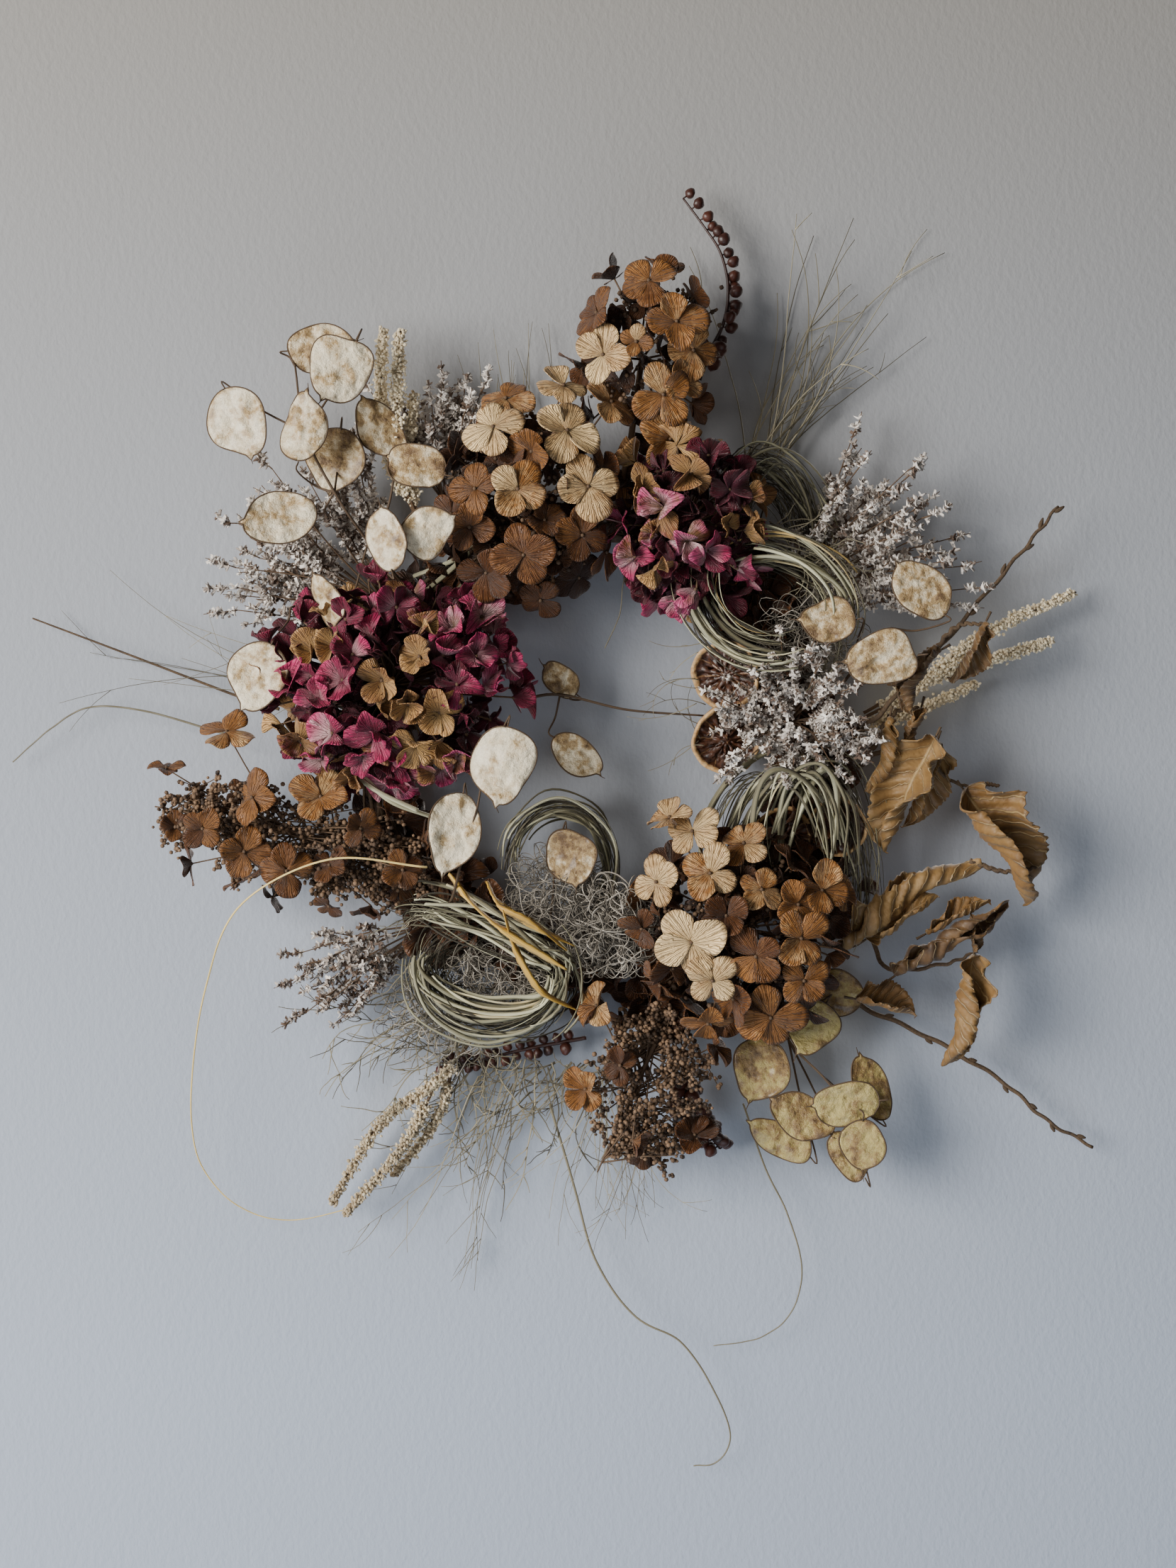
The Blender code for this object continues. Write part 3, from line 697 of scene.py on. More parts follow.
def citrus_finish():
    made = Finish("citrus_slice", roughness=0.55)
    across, along, _ = made.split(made.uv())
    reach = made.varied(along, made.noise(made.where(), 200.0), 0.12)
    wall = made.math("PINGPONG", made.times(across, 10.0), 0.5)
    pulp = made.ramp(made.noise(made.where(), 350.0, 6.0), (0.35, (0.016, 0.008, 0.006)),
                     (0.65, (0.09, 0.032, 0.014)))
    membrane = made.spread(wall, 0.44, 0.5)
    pulp = made.mix(made.times(membrane, 0.75), pulp, (0.30, 0.17, 0.08))
    rind = made.ramp(made.noise(made.where(), 500.0), (0.3, (0.40, 0.20, 0.07)), (0.7, (0.66, 0.45, 0.22)))
    made.colour(made.mix(made.spread(reach, 0.9, 0.94), pulp, rind))
    made.rough(made.spread(reach, 0.85, 0.95, 0.35, 0.7))
    made.bump(made.noise(made.where(), 700.0), 0.6, 0.4)
    return made.material


def wall_finish(settings):
    made = Finish("painted_wall", roughness=0.85)
    _, _, height = made.split(made.where())
    # Painted light on the wall: bluer and brighter low down, warmer and darker high up, standing in for how
    # the room's light falls on it
    shade = made.spread(height, MIDDLE[2] - 0.35, MIDDLE[2] + 0.45)
    made.colour(made.mix(shade, settings.wall_low_painted_light, settings.wall_high_painted_shade))
    relief = made.noise(made.stretched(made.where(), (1, 1, 0.65)), 300.0, 2.0)
    made.bump(relief, 0.45, 0.9)
    see = made.node("ShaderNodeBsdfTransparent").outputs[0]
    back = made.node("ShaderNodeNewGeometry").outputs["Backfacing"]
    shadow = made.node("ShaderNodeLightPath").outputs["Is Shadow Ray"]
    either = made.math("MAXIMUM", back, shadow)
    shown = made.node("ShaderNodeMixShader", {0: either, 1: made.surface.outputs[0], 2: see})
    made.tree.links.new(shown.outputs[0], made.tree.nodes["Material Output"].inputs["Surface"])
    return made.material


def finishes(settings):
    """Every finish by name, made once."""
    if not FINISHES:
        FINISHES.update(wood_and_wire_finishes())
        FINISHES.update(flower_finishes(settings))
        FINISHES.update(grass_finishes(settings))
        FINISHES.update(fruit_finishes(settings))
    return FINISHES


def wood_and_wire_finishes():
    return {
        "vine_bark": bark_finish("vine_bark", (0.035, 0.020, 0.012), (0.16, 0.10, 0.06)),
        "twig_bark": bark_finish("twig_bark", (0.032, 0.018, 0.010), (0.15, 0.095, 0.05)),
        "reel_wire": wire_finish(),
    }


def flower_finishes(settings):
    return {
        "tan_petal": tan_petal_finish(settings),
        "burgundy_petal": burgundy_petal_finish(settings),
        "seed_brown": plain_finish("seed_brown", (0.014, 0.007, 0.004), (0.26, 0.155, 0.085), depth=0.4),
        "stalk": plain_finish("stalk", (0.045, 0.024, 0.014), (0.20, 0.12, 0.06), grain=200.0),
        "statice_white": plain_finish("statice_white", (0.12, 0.075, 0.05), (0.84, 0.78, 0.71),
                                      roughness=0.75, sheen_weight=0.1),
        "catkin": plain_finish("catkin", (0.26, 0.18, 0.09), (0.92, 0.80, 0.56), sheen_weight=0.3),
    }


def grass_finishes(settings):
    green = [(0.05, (0.030, 0.023, 0.012)), (0.5, settings.grass_colour), (0.85, (0.71, 0.69, 0.46)),
             (1.0, (0.60, 0.41, 0.14))]
    brown = [(0.0, (0.07, 0.058, 0.034)), (0.6, (0.25, 0.215, 0.135)), (1.0, (0.50, 0.44, 0.30))]
    golden = [(0.0, (0.24, 0.11, 0.015)), (0.5, settings.straw_colour), (1.0, (0.92, 0.68, 0.24))]
    return {
        "grass_blade": blade_finish("grass_blade", *green, roughness=0.72),
        "fine_grass": blade_finish("fine_grass", *brown),
        "straw": blade_finish("straw", *golden, roughness=0.5),
        "moss_fibre": plain_finish("moss_fibre", (0.045, 0.037, 0.026), (0.46, 0.41, 0.34), grain=150.0),
    }


def fruit_finishes(settings):
    return {
        "honesty_pod": pod_finish("honesty_pod", (0.84, 0.73, 0.52), (0.45, 0.30, 0.13),
                                  (0.16, 0.088, 0.034)),
        "green_pod": pod_finish("green_pod", (0.47, 0.37, 0.125), (0.27, 0.165, 0.055), (0.10, 0.052, 0.018)),
        "pod_rim": plain_finish("pod_rim", (0.035, 0.019, 0.010), (0.14, 0.085, 0.042)),
        "citrus_slice": citrus_finish(),
        "dry_leaf": leaf_finish(settings),
        "seed_pod_dark": plain_finish("seed_pod_dark", (0.012, 0.005, 0.004), (0.10, 0.028, 0.016),
                                      roughness=0.45, grain=500.0),
    }


# ---------------------------------------------------------------- flowers


def on_head(name, ways, shell=1.0):
    """Places on a flower head's rounded form, and the ways it faces there, for directions from its middle."""
    place, half, lean = HEADS[name]
    half = np.array(half, dtype=float)
    ways = unit(ways)
    return np.array(place) + turned(ways * half * shell, lean), unit(turned(ways / half, lean))


def way_to(name, across, up):
    """The direction from a head's middle to the point of its front at (across, up)."""
    place, half, lean = HEADS[name]
    x, y, _ = turned([across - place[0], up - place[1], 0], -lean)
    x, y = x / half[0], y / half[1]
    reach = math.hypot(x, y)
    if reach > 0.98:
        x, y = 0.98 * x / reach, 0.98 * y / reach
    return np.array([x, y, math.sqrt(max(1 - x * x - y * y, 0))])


def scatter(rng, half, gap, taken=(), back=-0.45, tries=2500):
    """Directions spread over a rounded form, at least a gap apart in millimetres."""
    half = np.array(half, dtype=float)
    chosen = [np.array(way) for way in taken]
    for way in unit(rng.normal(size=(tries, 3))):
        if way[2] > back and all(np.linalg.norm((way - other) * half) > gap for other in chosen):
            chosen.append(way)
    return chosen[len(taken):]


class Flowers:
    """Florets of rounded sepals, with the stalks that carry them."""

    def __init__(self, rng, shapes):
        self.rng, self.shapes = rng, shapes
        self.matrices = [[] for _ in shapes]
        self.tones = [[] for _ in shapes]
        self.sepals, self.stalks = Bundle(), Bundle()
        self.eyes = []

    def floret(self, place, facing, across, tone, tilt, loose, sepals=4):
        rng = self.rng
        base = stand(place, facing, rng.uniform(0, math.tau))
        for number in range(sepals):
            turn = number * math.tau / sepals + rng.normal(0, loose)
            step = stand((0, 0, 0.5 * (number % 2)), spin=turn)
            length = across / 2 * rng.uniform(0.88, 1.06)
            kind = rng.integers(len(self.shapes))
            matrix = base @ step @ tip_up(tilt + rng.normal(0, loose))
            matrix[:3, :3] *= length
            self.matrices[kind].append(matrix)
            self.tones[kind].append(tone + rng.normal(0, 0.06))
        self.eyes.append(stand(np.asarray(place) + unit(facing) * 0.9, facing, size=2.3))

    def stalk(self, place, hub, facing, wide=1.0):
        place, hub = np.asarray(place), np.asarray(hub)
        bend = (place + hub) / 2 - unit(facing) * 2 + self.rng.normal(0, 1.5, 3)
        self.stalks.stem(smooth([hub, bend, place], 8), np.linspace(wide * 1.4, wide, 8), tone=0.4)

    def finish(self, name, materials, material, slot, stands_for):
        for shape, matrices, tones in zip(self.shapes, self.matrices, self.tones):
            self.sepals.copies(shape, matrices, tones)
        self.sepals.piece(f"{name}_sepals", materials[material], slot, stands_for)
        self.stalks.copies(ball(), self.eyes, np.full(len(self.eyes), 0.3))
        self.stalks.piece(f"{name}_stalks", materials["stalk"], "seed_brown")


def hub_of(name):
    """Where the stalks of a head meet, just behind its middle."""
    place, half, _ = HEADS[name]
    return np.array(place) - np.array([0, 0, 0.45 * half[2]])


def main_stalk(flowers, name, wide=4.2):
    """The stalk that runs from a head's hub to the ring and along it a little way."""
    hub = hub_of(name)
    angle = math.degrees(math.atan2(hub[1], hub[0]))
    route = [hub, (hub + on_ring(angle, 4, 13)) / 2, on_ring(angle, 2, 12), on_ring(angle - 14, -2, 11.5)]
    flowers.stalks.stem(smooth(route, 20), np.linspace(wide * 0.8, wide, 20), sides=8, tone=0.35)


def beads(rng, name, count, shell, sizes):
    """Matrices for seeds spread through the outer part of a head."""
    ways = rng.normal(size=(count, 3))
    ways[:, 2] = np.abs(ways[:, 2]) * np.where(rng.random(count) < 0.25, -0.6, 1)
    placed = [on_head(name, way, rng.uniform(*shell)) for way in ways]
    return [stand(place, facing, rng.uniform(0, 6), rng.uniform(*sizes)) for place, facing in placed]


def seed_piece(name, materials, seeds, tones):
    made = Bundle()
    made.copies(ball(), seeds, tones)
    made.piece(f"{name}_seeds", materials["seed_brown"], "seed_brown")


def tan_head(rng, name, materials, settings, front, gap=20.0, seeds=700):
    """A tan head: chosen florets in front as (across, up, size, tone), and the rest spread over its form."""
    _, half, _ = HEADS[name]
    shapes = [sepal(wide=rng.uniform(0.44, 0.52), cup=rng.uniform(-0.35, 0.35), curl=rng.uniform(-0.08, 0.3),
                    fold=rng.uniform(-0.1, 0.25), ruffle=0.03, phase=3 * k) for k in range(8)]
    flowers = Flowers(rng, shapes)
    across = settings.floret_across / MM
    hub = hub_of(name)
    ways = []
    for x, y, size, tone in front:
        way = way_to(name, x, y)
        place, facing = on_head(name, way, 1.06)
        place = np.array([x, y, place[2] + rng.uniform(0, 5)])
        facing = unit(facing + np.array([-0.1, 0.05, 0.65]) + rng.normal(0, 0.22, 3))
        flowers.floret(place, facing, across * size, tone, rng.uniform(0.0, 0.3), 0.13)
        flowers.stalk(place, hub, facing)
        ways.append(way)
    for way in scatter(rng, half, gap, ways):
        place, facing = on_head(name, way, rng.uniform(0.84, 1.03))
        facing = unit(facing + rng.normal(0, 0.42, 3))
        # Florets that face forward and sit higher on the head get lighter tones: painted light. Those turned
        # back and low down get painted shade, over a random spread of their own colour
        tone = 0.16 + 0.30 * max(way[2], 0) + 0.12 * way[1] + rng.normal(0, 0.14)
        flowers.floret(place, facing, across * rng.uniform(0.66, 0.98), tone, rng.uniform(0.0, 0.7), 0.2)
        flowers.stalk(place, hub, facing)
    # Small florets deep inside the head. Their near-black tones are painted shade for the inside of the head,
    # as well as their own dried brown
    for way in scatter(rng, half, 14.0, back=-0.5):
        place, _ = on_head(name, way, rng.uniform(0.5, 0.78))
        facing = unit(way + rng.normal(0, 0.8, 3))
        flowers.floret(place, facing, across * 0.62, rng.uniform(-0.05, 0.2), rng.uniform(0.2, 0.9), 0.25, 3)
    main_stalk(flowers, name)
    flowers.finish(name, materials, "tan_petal", "tan_petal", [name])
    places = beads(rng, name, seeds, (0.5, 0.88), (1.8, 3.4))
    seed_piece(name, materials, places, rng.uniform(0.0, 0.6, seeds))


def burgundy_head(rng, name, materials, settings, front, tone_at, gap=13.0):
    """A mophead of crumpled florets, from deep burgundy to magenta, pink-white and tan."""
    _, half, _ = HEADS[name]
    shapes = [sepal(wide=rng.uniform(0.42, 0.56), cup=rng.uniform(-0.6, 0.9), curl=rng.uniform(-0.5, 0.65),
                    fold=rng.uniform(-0.3, 0.9), ruffle=rng.uniform(0.05, 0.12), phase=1.7 * k)
              for k in range(12)]
    flowers = Flowers(rng, shapes)
    across = settings.mophead_across / MM
    hub = hub_of(name)
    ways = []
    for x, y, size, tone in front:
        way = way_to(name, x, y)
        place, facing = on_head(name, way, 1.04)
        flowers.floret([x, y, place[2] + 1], unit(facing + rng.normal(0, 0.35, 3)), across * size, tone,
                       rng.uniform(0.2, 0.7), 0.25)
        flowers.stalk(place, hub, facing)
        ways.append(way)
    for way in scatter(rng, half, gap, ways):
        place, facing = on_head(name, way, rng.uniform(0.86, 1.06))
        tone = tone_at(rng, way)
        facing = unit(facing + rng.normal(0, 0.55, 3))
        size = across * rng.uniform(0.75, 1.15)
        flowers.floret(place, facing, size, tone, rng.uniform(0.3, 1.2), 0.32, 3 + rng.integers(2))
        flowers.stalk(place, hub, facing)
    # Small florets deep inside the head. Their near-black tones are painted shade for the inside of the head,
    # as well as their own dried colour
    for way in scatter(rng, half, 11.0, back=-0.5):
        place, _ = on_head(name, way, rng.uniform(0.62, 0.86))
        facing = unit(way + rng.normal(0, 0.9, 3))
        flowers.floret(place, facing, across * 0.85, rng.uniform(-0.05, 0.22), rng.uniform(0.2, 1.0), 0.3, 3)
    main_stalk(flowers, name)
    flowers.finish(name, materials, "burgundy_petal", "burgundy_petal", [name])


def left_tone(rng, way):
    """The left mophead: magenta to its right, burgundy above, and tan florets all over."""
    draw = rng.random()
    if way[0] > 0.45 and draw < 0.45:
        return rng.uniform(0.48, 0.58)
    if draw < 0.26:
        return rng.uniform(0.68, 0.95)
    return rng.uniform(0.2, 0.5) if way[1] > -0.5 or draw < 0.7 else rng.uniform(0.5, 0.8)


def right_tone(rng, way):
    """The right mophead: dark above, magenta below, and many tan florets."""
    draw = rng.random()
    if draw < 0.42:
        return rng.uniform(0.66, 0.9)
    return rng.uniform(0.4, 0.56) if way[1] < 0 and draw < 0.8 else rng.uniform(0.02, 0.35)


def seed_branches(rng, name, stalks, axis, count, reach=(0.55, 1.0), each=20):
    """Branchlets from a panicle's axis to its outside, each with a knot of seeds. Returns seed matrices."""
    made = []
    base, tip = (np.array(point, dtype=float) for point in axis)
    stem = smooth([base, (base + tip) / 2 + (0, 1, 3), tip], 16)
    stalks.stem(stem, np.linspace(3.4, 0.9, 16), sides=6, tone=0.3)
    for number in range(count):
        share = (number + rng.random()) / count
        root = base + (tip - base) * share * 0.95
        way = unit(rng.normal(size=3)) + unit(tip - base) * (2.2 * share - 1.1)
        way[2] = abs(way[2]) if rng.random() < 0.75 else way[2]
        end, _ = on_head(name, way, rng.uniform(*reach))
        path = smooth([root, (root + end) / 2 + rng.normal(0, 2, 3), end], 9)
        stalks.stem(path, np.linspace(1.1, 0.5, 9), sides=4, tone=0.35)
        for _ in range(each):
            spot = path[rng.integers(5, 9)] + unit(rng.normal(size=3)) * rng.uniform(1.0, 4.2)
            made.append(stand(spot, unit(rng.normal(size=3)), 0, rng.uniform(1.7, 3.1)))
    return made


def panicle(rng, name, materials, settings, axis, front, branches, gap, tone=0.34):
    """A narrow head of seeds on branchlets, with brown florets over it."""
    _, half, _ = HEADS[name]
    shapes = [sepal(cup=rng.uniform(-0.4, 0.5), curl=rng.uniform(-0.1, 0.4), fold=rng.uniform(0, 0.4),
                    ruffle=0.05, phase=2 * k) for k in range(6)]
    flowers = Flowers(rng, shapes)
    across = settings.floret_across / MM
    base, tip = (np.array(point, dtype=float) for point in axis)
    ways = []
    for x, y, size, shade in front:
        way = way_to(name, x, y)
        place, facing = on_head(name, way, 1.0)
        place = np.array([x, y, place[2] + 2])
        facing = unit(facing + np.array([0, 0.1, 0.5]) + rng.normal(0, 0.25, 3))
        flowers.floret(place, facing, across * size, shade, rng.uniform(0.05, 0.4), 0.16)
        flowers.stalk(place, base + (tip - base) * 0.5, facing, 0.8)
        ways.append(way)
    for way in scatter(rng, half, gap, ways, back=-0.6):
        place, facing = on_head(name, way, rng.uniform(0.85, 1.0))
        facing = unit(facing + rng.normal(0, 0.5, 3))
        size = across * rng.uniform(0.5, 0.8)
        flowers.floret(place, facing, size, tone + rng.normal(0, 0.12), rng.uniform(0.2, 0.9), 0.2)
        flowers.stalk(place, base + (tip - base) * rng.uniform(0.2, 0.8), facing, 0.8)
    seeds = seed_branches(rng, name, flowers.stalks, axis, branches)
    main_stalk(flowers, name, 3.6)
    flowers.finish(name, materials, "tan_petal", "seed_brown", [name])
    seed_piece(name, materials, seeds, rng.uniform(0.0, 0.9, len(seeds)))


# ---------------------------------------------------------------- grasses and twigs


def skein(bundle, rng, place, half, thick, sweep, count, wide, tones, turn, cross, ease):
    """Loose blades wound along an oval arc: thick is the skein's own radius, sweep its ends in degrees.

    Each blade draws its own oval between the two sizes that ease gives for across and up.
    """
    for _ in range(count):
        around, depth = rng.uniform(0, math.tau), rng.random() ** 0.5
        p, q = depth * math.cos(around), depth * math.sin(around)
        start, end = sweep[0] + rng.normal(0, 10), sweep[1] + rng.normal(0, 10)
        steps = max(int(abs(end - start) / 7), 16)
        t = np.linspace(0, 1, steps)
        angle = np.radians(start + (end - start) * t)
        share = rng.random()
        across, up = (half[k] * (ease[k][0] + (ease[k][1] - ease[k][0]) * share) for k in (0, 1))
        sway = 0.3 * np.sin(angle * rng.uniform(0.6, 2.0) + rng.uniform(0, 6))
        rise = 0.5 * np.sin(angle * rng.uniform(0.6, 2.0) + rng.uniform(0, 6))
        reach = 1 + (p + sway) * thick / max(half)
        x, y = across * reach * np.cos(angle), up * reach * np.sin(angle)
        path = np.stack([x, y, (q + rise) * thick], axis=1)
        path += 0.8 * np.sin(angle[:, None] * rng.uniform(2.0, 6.0, 3) + rng.uniform(0, 6, 3))
        path = turned(path, *rng.normal(0, cross, 3)) + rng.normal(0, 0.3 * thick, 3) * (1, 1, 0.4)
        roll = rng.normal(0.5, 0.9) + rng.normal(0, 0.9) * t
        out = np.stack([np.cos(angle), np.sin(angle), roll], axis=1)
        path = turned(path, *turn) + np.array(place)
        path[:, 2] = np.maximum(path[:, 2], CLEARANCE)
        ragged = 1 + 0.12 * np.sin(np.arange(steps) * rng.uniform(0.7, 1.5))
        blade = rng.uniform(*wide) * ragged * (0.3 + 0.7 * np.sin(np.pi * np.clip(t, 0.04, 0.96)) ** 0.4)
        deep = np.maximum(blade * 0.2, 0.35)
        bundle.stem(path, blade, deep, face=turned(out, *turn), sides=4, tone=rng.uniform(*tones))


def hairs(bundle, rng, feet, ways, lengths, count, wide, bow, tones, branch, kink):
    """Hair-fine stems from feet between two points, fanned between two angles, each with its own bow."""
    for _ in range(count):
        foot = feet[0] + (np.array(feet[1]) - feet[0]) * rng.random() + rng.normal(0, 2, 3)
        heading, length = rng.uniform(*ways), rng.uniform(*lengths)
        steps = 16
        turn = np.radians(heading) + bow * rng.normal() * np.linspace(0, 1, steps) ** 1.5
        turn += np.cumsum(rng.normal(0, kink, steps))
        step = np.stack([np.cos(turn), np.sin(turn), np.full(steps, rng.normal(0.0, 0.10))], axis=1)
        path = foot + np.cumsum(step * length / steps, axis=0)
        path[:, 2] = np.maximum(path[:, 2], CLEARANCE)
        tone = rng.uniform(*tones)
        bundle.stem(path, np.linspace(wide * 1.4, wide * 0.6, steps), sides=3, tone=tone)
        for _ in range(branch):
            at = rng.integers(4, steps - 1)
            side = turn[at] + rng.choice([-1, 1]) * rng.uniform(0.3, 0.8)
            reach = rng.uniform(0.1, 0.3) * length
            bent = side + rng.normal(0, 0.3) * np.linspace(0, 1, 6) + np.cumsum(rng.normal(0, 1.5 * kink, 6))
            run = np.stack([np.cos(bent), np.sin(bent), np.full(6, rng.normal(0, 0.15))], axis=1) * reach / 6
            twig = np.vstack([path[at], path[at] + np.cumsum(run, axis=0)])
            twig[:, 2] = np.maximum(twig[:, 2], 1.2)
            bundle.stem(twig, np.linspace(wide, wide * 0.5, 7), sides=3, tone=tone)


def curls(bundle, rng, place, half, count, length, wide):
    """Curly fibres tangled in a rounded tuft."""
    place, half = np.array(place, dtype=float), np.array(half, dtype=float)
    steps = 34
    for _ in range(count):
        way = unit(rng.normal(size=3))
        at = unit(rng.normal(size=3)) * rng.random() ** 0.4 * 0.9
        spin = unit(rng.normal(size=3))
        path = []
        rate = rng.uniform(0.15, 0.55)
        for _ in range(steps):
            path.append(place + at * half)
            spin = unit(spin + rng.normal(0, 0.35, 3))
            way = unit(way + np.cross(spin, way) * rate - at * max(np.dot(at, at) - 0.7, 0) * 1.2)
            at = at + way * length / steps / half
        bundle.stem(np.array(path), np.linspace(wide, wide * 0.6, steps), sides=3, tone=rng.uniform(0.0, 1.0))


def spray(bundle, florets, rng, foot, ways, lengths, count, deep, lift, twigs, plump, size):
    """Wiry stems fanned from a foot between two angles, each with side twigs crowded with small florets."""
    foot = np.array(foot, dtype=float)
    for number in range(count):
        heading = math.radians(ways[0] + (ways[1] - ways[0]) * (number + rng.uniform(0.1, 0.9)) / count)
        length = rng.uniform(*lengths)
        way = unit([math.cos(heading), math.sin(heading), rng.uniform(*lift)])
        end = foot + way * length
        end[2] = min(max(end[2], 6), deep)
        path = smooth([foot, foot + (end - foot) * 0.5 + rng.normal(0, 3, 3), end], 14)
        bundle.stem(path, np.linspace(1.3, 0.6, 14), sides=5, tone=0.3)
        for twig in range(twigs):
            share = 0.4 + 0.6 * (twig + rng.random()) / twigs if twig < twigs - 1 else 1.0
            at = path[min(int(share * 13), 13)]
            side = unit(way + unit(rng.normal(size=3)) * (0.75 if twig < twigs - 1 else 0.15))
            reach = rng.uniform(12, 22) * (1.2 - 0.4 * share)
            elbow = at + side * reach * 0.5 + rng.normal(0, 0.8, 3)
            run = smooth([at, elbow, at + (side * 0.8 + way * 0.3) * reach], 9)
            run[:, 2] = np.maximum(run[:, 2], 2.5)
            bundle.stem(run, np.linspace(0.8, 0.45, 9), sides=4, tone=0.35)
            for _ in range(int(reach * 0.95)):
                share_out = rng.uniform(0.25, 1.0)
                out = unit(rng.normal(size=3))
                stand_off = plump * 0.5 * (1.2 - 0.6 * share_out) * rng.uniform(0.4, 1.0)
                spot = run[int(share_out * 8)] + out * stand_off
                facing = unit(out + side * 0.9 + (0, 0.1, 0.2))
                florets.append(stand(spot, facing, rng.uniform(0, 6), size * rng.uniform(0.6, 1.15)))


def add_buds(bundle, path, places, length):
    """Pointed buds, on one side and then the other of a twig."""
    matrices = []
    for number, index in enumerate(places):
        way = unit(path[min(index + 1, len(path) - 1)] - path[index - 1])
        side = np.cross(way, [0, 0, 1]) * (1 if number % 2 else -1)
        matrix = stand(path[index] + side * 1.4 + way * length * 0.3, facing=unit(way + side * 0.35))
        matrices.append(sized(matrix, 2.4, 2.4, length))
    bundle.copies(capsule(), matrices, np.full(len(matrices), 0.35))


# ---------------------------------------------------------------- the pieces, one operator each


class Maker:
    """What the operators share: each builds its pieces from the scene's settings and its own seed."""

    bl_options = {"REGISTER", "UNDO"}
    seed = 0

    def execute(self, context):
        settings = context.scene.harvest_wreath
        self.build(settings, finishes(settings), np.random.default_rng(self.seed))
        return {"FINISHED"}


class WREATH_OT_vine_ring(Maker, bpy.types.Operator):
    """Winds the bark-covered vine rods, with their knots, and binds them with reel wire"""

    bl_idname = "wreath.vine_ring"
    bl_label = "Vine ring and binding wire"
    seed = 11
    knots = 11
    wire_angles = (18, 66, 128, 188, 246, 312)
    wire_turns = 3.5

    def build(self, settings, materials, rng):
        steps = 420
        gap = 6 / RING_RADIUS
        for number, name in enumerate(RODS):
            quarter = math.tau * number / len(RODS)
            angle = quarter + gap + (math.tau - 2 * gap) * np.linspace(0, 1, steps)
            lay = ROD_TWISTS * angle + quarter
            reach = RING_RADIUS + ROD_LAY * np.cos(lay)
            off = RING_OFF + ROD_LAY * np.sin(lay)
            path = np.stack([reach * np.cos(angle), reach * np.sin(angle), off], axis=1)
            thick = np.full(steps, ROD_THICK)
            for knot in rng.uniform(0, steps, self.knots):
                thick += 1.1 * np.exp(-(((np.arange(steps) - knot) / 4) ** 2))
            thick += 0.25 * np.sin(np.arange(steps) * 0.11 + number)
            rod = Bundle()
            rod.stem(path, thick, sides=12, tone=0.3 + 0.15 * number)
            rod.piece(f"{name}_bark", materials["vine_bark"], "vine_bark", [name])
        for number, middle in enumerate(self.wire_angles):
            turn = np.linspace(0, self.wire_turns * math.tau, 100)
            along = middle + np.degrees(np.linspace(-3.2, 3.2, 100) / RING_RADIUS)
            wrap = BUNDLE + 0.75 + 0.15 * np.sin(3 * turn)
            path = np.array([on_ring(a, wrap_r * math.cos(t), wrap_r * math.sin(t))
                             for a, t, wrap_r in zip(along, turn, wrap)])
            wire = Bundle()
            wire.stem(path, 0.85, sides=6)
            name = f"binding_wire_{number + 1}"
            wire.piece(f"{name}_coil", materials["reel_wire"], "reel_wire", [name])


class WREATH_OT_tied_stems(Maker, bpy.types.Operator):
    """Lays the cut ends of the stems along the front of the ring, and fills it with crumpled leaf whose
    near-black tone is painted shade for the hollows
    """

    bl_idname = "wreath.tied_stems"
    bl_label = "Tied stems and backing leaf"
    seed = 12
    stem_count = 46
    scrap_count = 190
    # Hollows between the heads that crumpled leaf fills, as (place, reach); the leaf's near-black tone there
    # is painted shade
    nooks = [((12, 166, 22), 16), ((20, 144, 26), 14), ((-60, 86, 18), 14), ((-82, -82, 20), 16),
             ((38, -138, 26), 18), ((4, 192, 20), 8), ((84, 92, 24), 16), ((112, -66, 24), 22)]

    def clear_of_loop(self, across, up, off):
        """Whether a place is out of the way of the swinging wire loop."""
        return abs(across) > 22 or up < RING_RADIUS - 14 or off > 34

    def build(self, settings, materials, rng):
        stems = Bundle()
        for number in range(self.stem_count):
            middle = 98 + 344 * (number + rng.uniform(0, 0.7)) / self.stem_count
            run = rng.uniform(9, 20)
            angles = np.linspace(middle - run, middle + run, 14)
            reach = np.linspace(rng.uniform(-7, 3), rng.uniform(-2, 9), 14)
            off = np.linspace(rng.uniform(10.5, 13), rng.uniform(10.5, 15), 14)
            path = np.array([on_ring(*place) for place in zip(angles, reach, off)])
            stems.stem(path, rng.uniform(1.5, 2.8), sides=7, tone=rng.uniform(0, 0.8))
        stems.piece("tied_stems", materials["twig_bark"], "twig_bark")
        shapes = [sepal(wide=0.4, cup=0.3, curl=c, ruffle=0.12, phase=c * 9) for c in (-0.3, 0.1, 0.4)]
        fill = Bundle()
        for shape in shapes:
            matrices = []
            for _ in range(self.scrap_count):
                angle, around = rng.uniform(104, 436), rng.uniform(-0.5, 3.6)
                place = on_ring(angle, 12 * math.cos(around), 8 + 9 * math.sin(around))
                facing = unit(rng.normal(size=3) + (0, 0, 0.8))
                matrices.append(stand(place, facing, rng.uniform(0, 6), rng.uniform(13, 24)))
            for place, reach in self.nooks:
                for _ in range(int(reach * 0.9)):
                    facing = unit(rng.normal(size=3) + (0, 0, 0.8))
                    at = np.array(place) + rng.normal(0, 0.5, 3) * (reach, reach, 8)
                    matrices.append(stand(at, facing, rng.uniform(0, 6), rng.uniform(12, 20)))
            matrices = [matrix for matrix in matrices if self.clear_of_loop(*matrix[:3, 3])]
            # Near-black tones: painted shade for the hollows, on leaf that also covers the ring
            fill.copies(shape, matrices, rng.uniform(-0.1, 0.22, len(matrices)))
        fill.piece("backing_leaf_painted_shade", materials["tan_petal"], "tan_petal")


